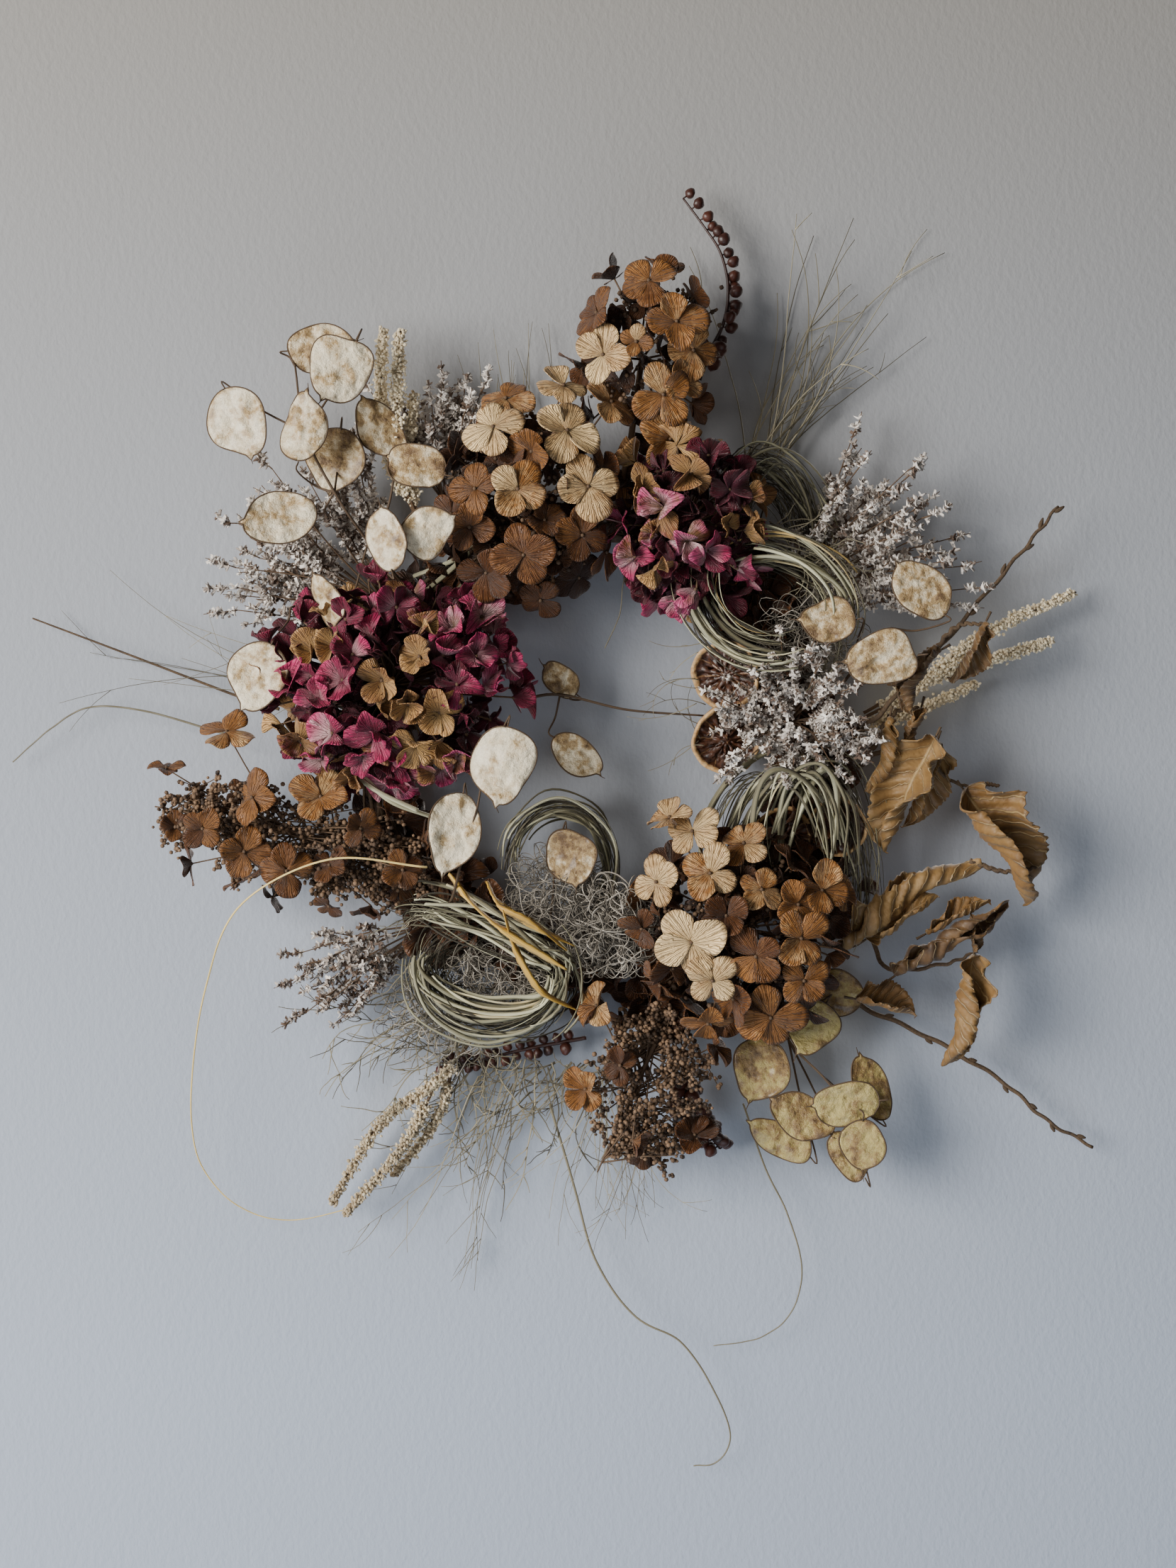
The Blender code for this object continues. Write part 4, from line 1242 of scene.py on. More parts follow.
class WREATH_OT_hanger(Maker, bpy.types.Operator):
    """Twists the wire hanging loop, loose round the rods at the top of the ring"""

    bl_idname = "wreath.hanger"
    bl_label = "Hanging loop"
    # Half the thickness of the wire, and the radii of its eye and of the twist in its neck
    wire = 0.8
    eye = 8.3
    around = 0.85

    def build(self, settings, materials, rng):
        low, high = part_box("hanger_loop")
        wire, eye, around = self.wire, self.eye, self.around
        top = (high[2] - MIDDLE[2]) / MM - wire
        wrap = (high[1] - low[1]) / 2 / MM - wire
        foot = RING_RADIUS + wrap
        neck = top - 2 * eye
        loop = Bundle()
        turn = np.linspace(0, math.tau, 49)
        x, y = np.sin(turn), np.cos(turn)
        ring = np.stack([0.4 * x, RING_RADIUS + wrap * y, RING_OFF + wrap * x], axis=1)
        loop.stem(ring, 2 * wire, face=(1, 0, 0), sides=10)
        circle = np.stack([eye * x, neck + eye - eye * y, RING_OFF + 0.3 * x], axis=1)
        loop.stem(circle, 2 * wire, face=(0, 0, 1), sides=10)
        for side in (0, math.pi):
            rise = np.linspace(0, 1, 60)
            twist = side + rise * 3.5 * math.tau
            up = foot - 0.8 + (neck - foot + 1.2) * rise
            strand = np.stack([around * np.cos(twist), up, RING_OFF + around * np.sin(twist)], axis=1)
            loop.stem(strand, 1.5, sides=8)
        loop.piece("hanger_loop_wire", materials["reel_wire"], "reel_wire", ["hanger_loop"], LOOP_BODY)


class WREATH_OT_tan_heads(Maker, bpy.types.Operator):
    """Builds the three tan hydrangea heads"""

    bl_idname = "wreath.tan_heads"
    bl_label = "Tan hydrangea heads"
    seed = 21

    def build(self, settings, materials, rng):
        top = [(-12, 162, 1.08, 0.95), (-1, 133, 1.08, 0.85), (-37, 130, 0.95, 0.8), (-50, 164, 0.95, 0.95),
               (-44, 181, 0.9, 0.62), (11, 180, 0.9, 0.66), (-14, 188, 0.85, 0.88), (-59, 131, 0.8, 0.45),
               (-34, 97, 1.0, 0.35), (-4, 108, 0.9, 0.4), (-62, 112, 0.8, 0.35), (-26, 76, 0.75, 0.25)]
        tan_head(rng, "hydrangea_tan_top", materials, settings, top)
        crown = [(7, 203, 1.0, 0.92), (31, 242, 0.9, 0.5), (45, 219, 1.0, 0.55), (54, 206, 0.9, 0.62),
                 (38, 182, 1.0, 0.62), (42, 162, 1.0, 0.62), (24, 208, 0.55, 0.6), (4, 226, 0.9, 0.35),
                 (48, 190, 0.8, 0.7)]
        tan_head(rng, "hydrangea_tan_crown", materials, settings, crown, gap=25, seeds=260)
        buds = Bundle()
        places = rng.normal((52, 234, 34), (7, 6, 4), (90, 3))
        grains = [stand(place, size=rng.uniform(1.8, 3.2)) for place in places]
        buds.copies(ball(), grains, rng.uniform(0, 0.5, len(grains)))
        for place in places[::4]:
            buds.stem(smooth([(42, 214, 26), (48, 226, 30), place], 6), 0.8, sides=4, tone=0.2)
        buds.piece("hydrangea_tan_crown_buds", materials["seed_brown"], "seed_brown")
        lower = [(52, -102, 1.12, 1.0), (35, -72, 0.85, 0.98), (42, -39, 0.85, 0.78), (54, -46, 0.9, 0.85),
                 (62, -67, 0.9, 0.75), (80, -52, 0.8, 0.66), (63, -122, 0.85, 0.95), (85, -109, 0.9, 0.42),
                 (108, -100, 0.95, 0.6), (120, -76, 0.9, 0.55), (132, -78, 0.7, 0.6), (94, -142, 1.1, 0.5),
                 (62, -146, 0.8, 0.5), (110, -122, 0.8, 0.6), (107, -83, 0.8, 0.5)]
        tan_head(rng, "hydrangea_tan_lower", materials, settings, lower)


class WREATH_OT_burgundy_heads(Maker, bpy.types.Operator):
    """Builds the two crumpled burgundy hydrangea heads"""

    bl_idname = "wreath.burgundy_heads"
    bl_label = "Burgundy hydrangea heads"
    seed = 22

    def build(self, settings, materials, rng):
        left = [(-57, 66, 1.1, 0.54), (-70, 59, 1.0, 0.5), (-59, 45, 1.0, 0.52), (-100, 70, 1.1, 0.3),
                (-121, 45, 1.15, 0.36), (-126, 32, 1.1, 0.42), (-106, 32, 1.1, 0.8), (-93, 20, 1.0, 0.85),
                (-132, 5, 1.1, 0.5), (-110, 6, 1.2, 0.46), (-90, 0, 1.1, 0.86), (-140, 22, 1.0, 0.4),
                (-68, 30, 1.0, 0.3), (-87, 44, 1.0, 0.82), (-140, -8, 1.0, 0.52)]
        burgundy_head(rng, "hydrangea_burgundy_left", materials, settings, left, left_tone)
        right = [(50, 105, 1.0, 0.54), (60, 100, 1.0, 0.45), (24, 98, 1.0, 0.5), (38, 122, 1.2, 0.7),
                 (72, 132, 1.0, 0.2), (62, 150, 1.0, 0.15), (52, 140, 1.0, 0.75), (34, 92, 0.9, 0.8)]
        burgundy_head(rng, "hydrangea_burgundy_right", materials, settings, right, right_tone, gap=14.5)


class WREATH_OT_panicles(Maker, bpy.types.Operator):
    """Builds the two brown panicles with their seed heads"""

    bl_idname = "wreath.panicles"
    bl_label = "Brown panicles"
    seed = 23

    def build(self, settings, materials, rng):
        left = [(-192, 6, 0.85, 0.62), (-224, -13, 0.6, 0.35), (-176, -28, 0.85, 0.5),
                (-141, -28, 0.95, 0.62), (-180, -56, 0.8, 0.45), (-158, -66, 0.9, 0.45),
                (-202, -44, 0.7, 0.4), (-120, -44, 0.7, 0.35), (-98, -66, 0.7, 0.35)]
        axis = [(-86, -62, 40), (-232, -33, 44)]
        panicle(rng, "hydrangea_panicle_left", materials, settings, axis, left, 185, 24)
        lower = [(4, -139, 0.8, 0.62), (-2, -182, 0.75, 0.55), (16, -168, 0.6, 0.25), (66, -160, 0.8, 0.4)]
        axis = [(44, -140, 40), (4, -228, 44)]
        panicle(rng, "hydrangea_seed_panicle", materials, settings, axis, lower, 120, 36, 0.25)


class WREATH_OT_grass_coils(Maker, bpy.types.Operator):
    """Winds the coils of long grass"""

    bl_idname = "wreath.grass_coils"
    bl_label = "Grass coils"
    seed = 31
    # Each coil: its skeins as (place, half-sizes, thickness, sweep, blades, blade width, tones, turn,
    # crossing, and the ease of its ovals across and up)
    # The skeins that lie deeper, nearer the ring, have darker tones: painted shade between the layers, over
    # the grass's own mix of colours
    coils = {
        "grass_coil_nest": [
            ((-53, -128, 26), (38, 27), 11, (-200, 190), 40, 0.55, (-0.3, 0.2), (-8, 10, -20), 9,
             ((0.8, 1.1), (0.7, 1.1))),
            ((-54, -121, 38), (40, 36), 5, (172, 368), 24, 0.6, (-0.2, 0.8), (-7, 0, 0), 7,
             ((0.92, 1.06), (0.4, 1.1))),
            ((-54, -121, 50), (39, 34), 4, (174, 364), 15, 1.3, (0.4, 1.0), (-8, -4, 0), 5,
             ((0.9, 1.0), (0.38, 1.08))),
            ((-53, -104, 48), (47, 12), 7, (10, 172), 22, 0.65, (-0.2, 0.8), (-22, 0, 0), 7,
             ((0.8, 1.0), (-0.5, 1.2))),
            ((-52, -101, 56), (46, 12), 6, (12, 166), 8, 1.15, (0.4, 0.95), (-24, 0, 0), 6,
             ((0.8, 1.0), (-0.5, 1.1))),
            ((-30, -124, 44), (24, 30), 5, (-75, 60), 9, 0.8, (0.1, 0.8), (10, 0, 0), 9,
             ((0.6, 1.1), (0.8, 1.1))),
        ],
        "grass_coil_arch": [
            ((-16, -66, 28), (29, 34), 5, (-38, 168), 30, 0.6, (-0.2, 0.5), (0, 0, 0), 4,
             ((0.9, 1.06), (0.9, 1.06))),
            ((-16, -66, 34), (28, 32), 4, (-28, 155), 9, 1.0, (0.3, 0.8), (0, 0, 0), 5,
             ((0.86, 1.06), (0.86, 1.06))),
        ],
        "grass_coil_upper": [
            ((98, 110, 28), (24, 44), 8, (-20, 172), 64, 0.45, (-0.3, 0.4), (8, 20, 0), 7,
             ((0.5, 1.15), (0.7, 1.08))),
            ((100, 108, 38), (36, 48), 5, (-10, 140), 12, 0.8, (0.2, 0.8), (8, 20, 0), 8,
             ((0.6, 1.05), (0.85, 1.05))),
        ],
        "grass_coil_right": [
            ((92, 74, 30), (36, 28), 9, (0, 360), 26, 0.5, (-0.4, 0.1), (-20, 0, 0), 10,
             ((0.7, 1.1), (0.7, 1.1))),
            ((96, 78, 44), (46, 36), 5, (8, 128), 16, 0.6, (-0.1, 0.7), (-20, 0, 16), 8,
             ((0.6, 1.12), (0.42, 1.08))),
            ((96, 78, 50), (46, 36), 5, (8, 128), 11, 1.25, (0.35, 1.1), (-20, 0, 16), 8,
             ((0.62, 1.1), (0.42, 1.05))),
            ((96, 86, 46), (48, 50), 5, (176, 290), 18, 0.6, (-0.1, 0.7), (-10, 0, -14), 8,
             ((0.58, 1.08), (0.55, 1.05))),
            ((96, 86, 54), (48, 50), 5, (176, 290), 14, 1.3, (0.35, 1.1), (-10, 0, -14), 7,
             ((0.62, 1.05), (0.58, 1.02))),
            ((108, 60, 44), (26, 34), 5, (-60, 40), 10, 0.6, (0.1, 0.7), (10, 0, 0), 9,
             ((0.6, 1.1), (0.8, 1.1))),
        ],
        "grass_coil_lower": [
            ((118, -72, 40), (54, 66), 5, (84, 156), 13, 1.45, (0.2, 0.9), (6, 0, 0), 8,
             ((0.5, 1.05), (0.85, 1.05))),
            ((108, -74, 44), (46, 64), 5, (22, 92), 12, 1.3, (0.1, 0.85), (-4, 0, 0), 9,
             ((0.3, 1.05), (0.8, 1.0))),
            ((112, -66, 54), (20, 56), 5, (10, 165), 11, 1.5, (0.4, 0.95), (0, 0, 8), 9,
             ((0.3, 1.2), (0.9, 1.0))),
            ((124, -62, 34), (26, 54), 7, (-40, 90), 44, 0.42, (-0.2, 0.6), (4, 0, 0), 9,
             ((0.5, 1.15), (0.8, 1.08))),
            ((92, -70, 34), (30, 58), 6, (80, 168), 18, 0.5, (-0.2, 0.5), (4, 0, 0), 8,
             ((0.5, 1.15), (0.8, 1.0))),
        ],
    }

    def build(self, settings, materials, rng):
        width = settings.blade_width / MM
        for name, skeins in self.coils.items():
            coil = Bundle()
            for place, half, thick, sweep, blades, broad, tones, turn, cross, ease in skeins:
                count = int(settings.blades_in_coil * blades / 100)
                wide = (width * broad * 0.65, width * broad * 1.25)
                skein(coil, rng, place, half, thick, sweep, count, wide, tones, turn, cross, ease)
            coil.piece(f"{name}_blades", materials["grass_blade"], "grass_blade", [name])


class WREATH_OT_straw_ribbons(Maker, bpy.types.Operator):
    """Lays the flat golden straws over the nest"""

    bl_idname = "wreath.straw_ribbons"
    bl_label = "Golden straws"
    seed = 32

    def build(self, settings, materials, rng):
        routes = [[(-74, -68, 64), (-60, -84, 74), (-40, -100, 76), (-12, -118, 66)],
                  [(-54, -72, 62), (-48, -82, 72), (-34, -92, 74), (-8, -106, 62)],
                  [(-50, -80, 70), (-44, -86, 76), (-28, -94, 76), (-12, -108, 66)],
                  [(-45, -86, 76), (-38, -108, 74), (-26, -128, 70), (-7, -140, 58)]]
        straws = Bundle()
        for route in routes:
            path = smooth(route, 60)
            ragged = 4.2 + 0.35 * np.sin(np.arange(60) * 1.1) + rng.normal(0, 0.18, 60)
            sway = np.sin(np.linspace(0, 8, 60) + rng.uniform(0, 6))[:, None]
            face = np.array([0.35, 0.5, 1]) + sway * np.array([0.9, 0.8, -0.2])
            taper = np.interp(np.linspace(0, 1, 60), [0, 0.08, 0.5, 0.88, 1], [0.45, 0.75, 1.0, 0.95, 0.25])
            straws.stem(path, ragged * taper, 0.45, face=face, sides=4, tone=rng.uniform(0.3, 0.85))
        straws.piece("straw_ribbons", materials["straw"], "straw", ["straw_ribbon"])


class WREATH_OT_moss(Maker, bpy.types.Operator):
    """Tangles the tufts of curly moss"""

    bl_idname = "wreath.moss"
    bl_label = "Moss"
    seed = 33
    # Each piece: its tufts as (place, half-sizes, fibres, their length and width), then the node it replaces
    tufts = {
        "moss_tuft_fibres": (
            [((8, -96, 40), (27, 30, 17), 120, 60, 1.0),
             ((14, -104, 44), (32, 20, 16), 60, 90, 0.75),
             ((-16, -78, 34), (32, 26, 14), 110, 80, 0.65)],
            ["moss_tuft"],
        ),
        "moss_tuft_nest_fibres": (
            [((-53, -126, 34), (32, 24, 13), 150, 60, 0.6),
             ((-80, -150, 20), (40, 30, 12), 50, 80, 0.6)],
            ["moss_tuft_nest"],
        ),
        "moss_wisps": (
            [((118, 58, 42), (32, 26, 14), 70, 90, 0.6)],
            [],
        ),
    }

    def build(self, settings, materials, rng):
        for name, (tufts, stands_for) in self.tufts.items():
            fibres = Bundle()
            for tuft in tufts:
                curls(fibres, rng, *tuft)
            fibres.piece(name, materials["moss_fibre"], "moss_fibre", stands_for)


class WREATH_OT_statice(Maker, bpy.types.Operator):
    """Grows the bushy sprays of white statice"""

    bl_idname = "wreath.statice"
    bl_label = "Statice sprays"
    seed = 41
    brown_share = 0.32
    # Each spray: its fans as (foot, directions, lengths, stems, depth, rise, floret size)
    sprays = {
        "statice_left": [((-112, 78, 18), (94, 186), (60, 94), 21, 44, (0.0, 0.35), 5.6)],
        "statice_crown": [((-80, 134, 14), (66, 128), (42, 64), 11, 26, (0.0, 0.3), 5.4)],
        "statice_right": [((104, 84, 18), (-8, 66), (56, 102), 22, 42, (0.0, 0.35), 5.2)],
        "statice_middle": [((106, 12, 34), (-10, 190), (20, 50), 20, 74, (0.1, 1.2), 4.8),
                           ((106, 12, 34), (175, 365), (12, 46), 18, 74, (0.2, 1.2), 4.8)],
        "statice_lower_left": [((-88, -98, 14), (190, 232), (48, 84), 8, 30, (0.0, 0.3), 5.0)],
    }

    def build(self, settings, materials, rng):
        flower = star()
        for name, fans in self.sprays.items():
            stems, florets = Bundle(), []
            for foot, ways, lengths, count, deep, lift, size in fans:
                twigs = 4 if name == "statice_middle" else 6
                spray(stems, florets, rng, foot, ways, lengths, count, deep, lift, twigs, 7.5, size)
            heads = Bundle()
            many = len(florets)
            brown = rng.random(many) < self.brown_share
            tones = np.where(brown, rng.uniform(-0.2, 0.2, many), rng.uniform(0.3, 1.1, many))
            heads.copies(flower, florets, tones - (0.25 if name == "statice_lower_left" else 0))
            heads.piece(f"{name}_florets", materials["statice_white"], "statice_white", [name])
            stems.piece(f"{name}_stems", materials["stalk"], "statice_white")


class WREATH_OT_honesty(Maker, bpy.types.Operator):
    """Hangs the papery honesty pods on their branches"""

    bl_idname = "wreath.honesty"
    bl_label = "Honesty branches"
    seed = 51
    # Each branch: its stems, then its pods as (fork, place, half length, half width, lean, yaw, pitch, tone)
    branches = {
        "honesty_branch_upper": (
            [[(-99, 85, 21), (-118, 108, 46), (-134, 132, 62), (-150, 164, 58), (-156, 200, 52)],
             [(-118, 108, 46), (-108, 124, 48), (-104, 141, 49)]],
            [((-156, 200, 52), (-143, 211, 50), 17, 12, -82, 8, 0, 0.3),
             ((-150, 164, 58), (-131, 196, 66), 18, 16, 150, -6, 0, 1.0),
             ((-150, 164, 58), (-185, 169, 60), 18, 16.5, 200, 12, 0, 0.85),
             ((-134, 132, 62), (-149, 164, 72), 18, 11.5, -8, -10, 0, 0.6),
             ((-134, 132, 62), (-135, 151, 52), 17, 16, 170, 8, 0, 0.3),
             ((-104, 141, 49), (-112, 168, 46), 17, 12, 30, 16, 0, 0.25),
             ((-104, 141, 49), (-92, 147, 56), 16, 12, 72, 10, 0, 0.1),
             ((-134, 132, 62), (-163, 118, 64), 19, 14, 100, 6, 12, 0.9),
             ((-118, 108, 46), (-104, 104, 92), 16, 11, 10, -24, 0, 0.8),
             ((-118, 108, 46), (-83, 108, 90), 14, 12.5, -60, 10, 0, 1.0),
             ((-118, 108, 46), (-137, 74, 76), 15, 8.5, 24, -38, 0, 0.55)],
        ),
        "honesty_branch_left": (
            [[(-128, 72, 21), (-146, 78, 40), (-158, 72, 56)]],
            [((-158, 72, 56), (-172, 35, 78), 17, 16, 155, 8, 0, 1.0)],
        ),
        "honesty_branch_centre": (
            [[(-80, -90, 21), (-72, -80, 60), (-66, -60, 82), (-58, -34, 86)]],
            [((-58, -34, 86), (-45, -11, 86), 20, 16, 172, 8, 0, 1.05),
             ((-66, -60, 82), (-70, -46, 86), 21, 13, 166, -8, 0, 1.0)],
        ),
        "honesty_sprig_arch": (
            [[(-22, -98, 22), (-20, -84, 44)]],
            [((-20, -84, 44), (-10, -60, 47), 14, 14, 190, 8, 0, 0.05)],
        ),
        "honesty_sprig_opening": (
            [[(-38, 24, 38), (-16, 27, 36), (20, 19, 33), (62, 16, 27)]],
            [((-16, 27, 36), (-16, 35, 36), 13, 8, 55, 10, 30, 0.15),
             ((-16, 27, 36), (-7, -6, 38), 15, 10, 230, -12, 0, 0.5)],
        ),
        "honesty_branch_right": (
            [[(132, 26, 20), (144, 44, 42), (160, 62, 46)]],
            [((160, 62, 46), (175, 82, 54), 18, 13.5, 42, 10, 0, 0.4),
             ((144, 44, 42), (125, 65, 62), 14, 12, 90, 8, 0, 0.1),
             ((144, 44, 42), (151, 44, 76), 19, 13.5, 95, -6, 0, 0.3)],
        ),
        "honesty_branch_lower": (
            [[(96, -96, 20), (102, -112, 12), (104, -138, 14), (108, -160, 22), (125, -178, 34),
              (136, -191, 40)]],
            [((104, -138, 14), (131, -134, 30), 16, 13, 80, -8, 0, 0.25),
             ((108, -160, 22), (119, -151, 40), 15, 13, 150, 10, 0, 1.0),
             ((108, -160, 22), (92, -175, 34), 17, 15, 160, 6, 0, 0.35),
             ((108, -160, 22), (113, -199, 37), 17, 12, 60, 8, 0, 0.4),
             ((136, -191, 40), (136, -191, 46), 18, 12, 95, -8, 0, 1.1),
             ((125, -178, 34), (151, -184, 33), 18, 10, 20, 16, 0, 0.55),
             ((136, -191, 40), (145, -213, 48), 13, 12, 180, 8, 0, 0.8),
             ((108, -160, 22), (103, -213, 30), 18, 10, 60, -6, 0, 0.6),
             ((136, -191, 40), (139, -220, 38), 15, 9, 35, 10, 0, 0.5)],
        ),
    }

    def build(self, settings, materials, rng):
        shapes = [pod(rng) for _ in range(9)]
        kind = 0
        for name, (stems, pods) in self.branches.items():
            skins, rims = Bundle(), Bundle()
            for route in stems:
                rims.stem(smooth(route, 26), np.linspace(1.9, 1.1, 26), sides=6, tone=0.3)
            for fork, place, long, wide, lean, yaw, pitch, tone in pods:
                shape, outline = shapes[kind % len(shapes)]
                kind += 1
                up = turned([0, 1, 0], lean, yaw, pitch)
                facing = turned([0, 0, 1], lean, yaw, pitch)
                matrix = sized(stand(place, facing, along=up), 2 * wide, 2 * long, 2 * long)
                skins.copies(shape, [matrix], [tone])
                rims.stem(outline @ matrix[:3, :3].T + matrix[:3, 3], 0.85, face=facing, sides=5, tone=0.45)
                root, foot = np.array(fork, dtype=float), np.array(place) - up * long * 0.98
                away = foot - up * 5
                middle = (root + away) / 2 + rng.normal(0, 1.5, 3)
                middle[2] = min(root[2], away[2]) - 3
                stalk = smooth([root, middle, away, foot], 16)
                rims.stem(stalk, np.linspace(1.3, 0.8, 16), sides=5, tone=0.35)
                tip = np.array(place) + up * long
                beak = smooth([tip, tip + up * 2, tip + up * 5 + rng.normal(0, 1.0, 3)], 6)
                rims.stem(beak, np.linspace(0.8, 0.35, 6), sides=4, tone=0.4)
            slot = "green_pod" if name == "honesty_branch_lower" else "honesty_pod"
            skins.piece(f"{name}_pods", materials[slot], slot, [name])
            rims.piece(f"{name}_stems", materials["pod_rim"], slot)


class WREATH_OT_citrus(Maker, bpy.types.Operator):
    """Sets the dried citrus slices on the inner side of the ring"""

    bl_idname = "wreath.citrus"
    bl_label = "Citrus slices"
    seed = 61

    def build(self, settings, materials, rng):
        shape = slice_disc()
        slices = [((74, 38, 26), 19, 10, -22), ((74, 3, 26), 19, -6, 10), ((104, -50, 30), 17, 20, 12),
                  ((134, -44, 30), 16, -12, -10)]
        for number, (place, reach, lean, yaw) in enumerate(slices):
            matrix = stand(place, turned([0, 0, 1], lean, yaw, 8), rng.uniform(0, 6), 2 * reach)
            name = f"citrus_slice_{number + 1}"
            cut = Bundle()
            cut.copies(shape, [matrix], [0.5])
            cut.piece(f"{name}_dried", materials["citrus_slice"], "citrus_slice", [name])


class WREATH_OT_leaves(Maker, bpy.types.Operator):
    """Curls the pleated leaves on their twigs"""

    bl_idname = "wreath.leaves"
    bl_label = "Leafy twigs"
    seed = 65
    # Each twig: its stems, then its leaves as (base, tip, face, roll, curl, twist, slimness, tone)
    twigs = {
        "leaf_twig_upper": (
            [[(131, -6, 16), (146, 8, 34), (160, 22, 44), (190, 56, 44), (222, 92, 36), (240, 113, 32),
              (253, 129, 30)],
             [(178, 42, 44), (194, 62, 48), (209, 64, 50)]],
            [((186, 50, 50), (158, 34, 52), (0.3, 0.4, 1), 2.2, 1.0, 1.6, 0.34, 0.2),
             ((178, 46, 48), (168, 18, 54), (-0.5, 0.2, 1), 2.4, 0.8, -1.8, 0.32, 0.15),
             ((210, 65, 50), (194, 32, 50), (0.5, 0, 1), 2.0, 0.7, 1.2, 0.24, 0.2)],
        ),
        "leaf_twig_middle": (
            [[(133, -22, 12), (156, -4, 30), (176, 0, 40), (190, -17, 40), (204, -23, 38)],
             [(150, -8, 26), (162, 16, 38), (176, 20, 40)],
             [(204, -23, 38), (212, -21, 38), (219, -22, 40)]],
            [((160, 15, 44), (150, -26, 46), (0.5, 0, 1), 2.3, 0.5, 2.6, 0.24, 0.42),
             ((177, 20, 42), (168, -12, 40), (-0.4, 0, 1), 2.2, 0.5, -2.0, 0.26, 0.3),
             ((184, 4, 46), (154, -56, 44), (-0.5, 0.2, 1), 1.5, 0.5, -0.9, 0.24, 0.6),
             ((186, 2, 40), (172, -46, 36), (0.7, 0, 1), 1.5, 0.4, 0.8, 0.24, 0.42),
             ((200, -24, 40), (242, -84, 38), (0.3, 0.1, 1), 1.25, 0.7, 0.9, 0.29, 0.45)],
        ),
        "leaf_twig_lower": (
            [[(134, -88, 12), (144, -106, 24), (134, -110, 34)],
             [(134, -88, 12), (150, -96, 26), (160, -120, 30), (190, -118, 34), (206, -112, 36)],
             [(204, -62, 36), (222, -68, 36), (240, -66, 34)]],
            [((134, -109, 40), (209, -60, 42), (0.1, 0.9, 0.8), 1.9, 0.3, 2.4, 0.17, 0.6),
             ((148, -104, 40), (186, -80, 44), (0.2, 0.4, 1), 1.3, 0.3, 0.9, 0.2, 0.55),
             ((180, -101, 40), (214, -82, 42), (0, 0.6, 1), 2.0, 0.4, 1.4, 0.17, 0.4),
             ((164, -124, 36), (224, -82, 42), (0.3, 0.5, 0.9), 2.0, 0.4, -1.6, 0.17, 0.15),
             ((206, -112, 38), (192, -174, 38), (0.3, 0, 1), 1.7, 0.4, 0.9, 0.23, 0.5),
             ((206, -112, 36), (204, -90, 44), (0.6, 0, 0.6), 1.8, 0.2, 0.5, 0.2, 0.2),
             ((142, -136, 40), (176, -142, 40), (0.2, 0.7, 0.8), 1.5, 0.5, 0.5, 0.3, 0.3)],
        ),
    }

    def build(self, settings, materials, rng):
        for name, (stems, leaves) in self.twigs.items():
            wood, blades = Bundle(), Bundle()
            for route in stems:
                wiggle = 0.5 * np.sin(np.arange(40) * 1.3)
                path = smooth(route, 40) + np.stack([wiggle, -wiggle, 0 * wiggle], axis=1)
                wood.stem(path, np.linspace(3.2, 1.7, 40), sides=8, tone=0.4)
            if name == "leaf_twig_upper":
                add_buds(wood, smooth(stems[0], 40), range(18, 39, 4), 6.0)
            for base, tip, face, roll, curl, twist, slim, tone in leaves:
                shape = leaf(1.4 * roll, curl, twist, 1.08 * slim, rng.uniform(0, 6))
                run = np.array(tip, dtype=float) - base
                matrix = stand(base, face, along=run, size=np.linalg.norm(run) / shape.points[:, 1].max())
                blades.copies(shape, [matrix], [tone])
                back = np.array(base) - unit(run) * 6
                stalk = smooth([back, back + unit(run) * 3, base], 6)
                wood.stem(stalk, np.linspace(1.6, 1.1, 6), sides=6, tone=0.3)
            blades.piece(f"{name}_leaves", materials["dry_leaf"], "dry_leaf", [name])
            wood.piece(f"{name}_wood", materials["twig_bark"], "twig_bark")


class WREATH_OT_bare_twig(Maker, bpy.types.Operator):
    """Adds the bare twig with its buds at the lower right"""

    bl_idname = "wreath.bare_twig"
    bl_label = "Bare twig"

    def build(self, settings, materials, rng):
        route = [(110, -112, 14), (124, -122, 14), (146, -141, 14), (186, -160, 14), (226, -184, 14),
                 (250, -205, 14), (276, -220, 12)]
        path = smooth(route, 90)
        path[:, 1] += 0.7 * np.sin(np.arange(90) * 0.7)
        path[:, 2] += 0.4 * np.cos(np.arange(90) * 0.5)
        twig = Bundle()
        twig.stem(path, np.linspace(3.4, 1.9, 90), sides=8, tone=0.4)
        add_buds(twig, path, range(20, 88, 8), 5.0)
        twig.piece("bare_twig_bark", materials["twig_bark"], "twig_bark", ["bare_twig_lower"])


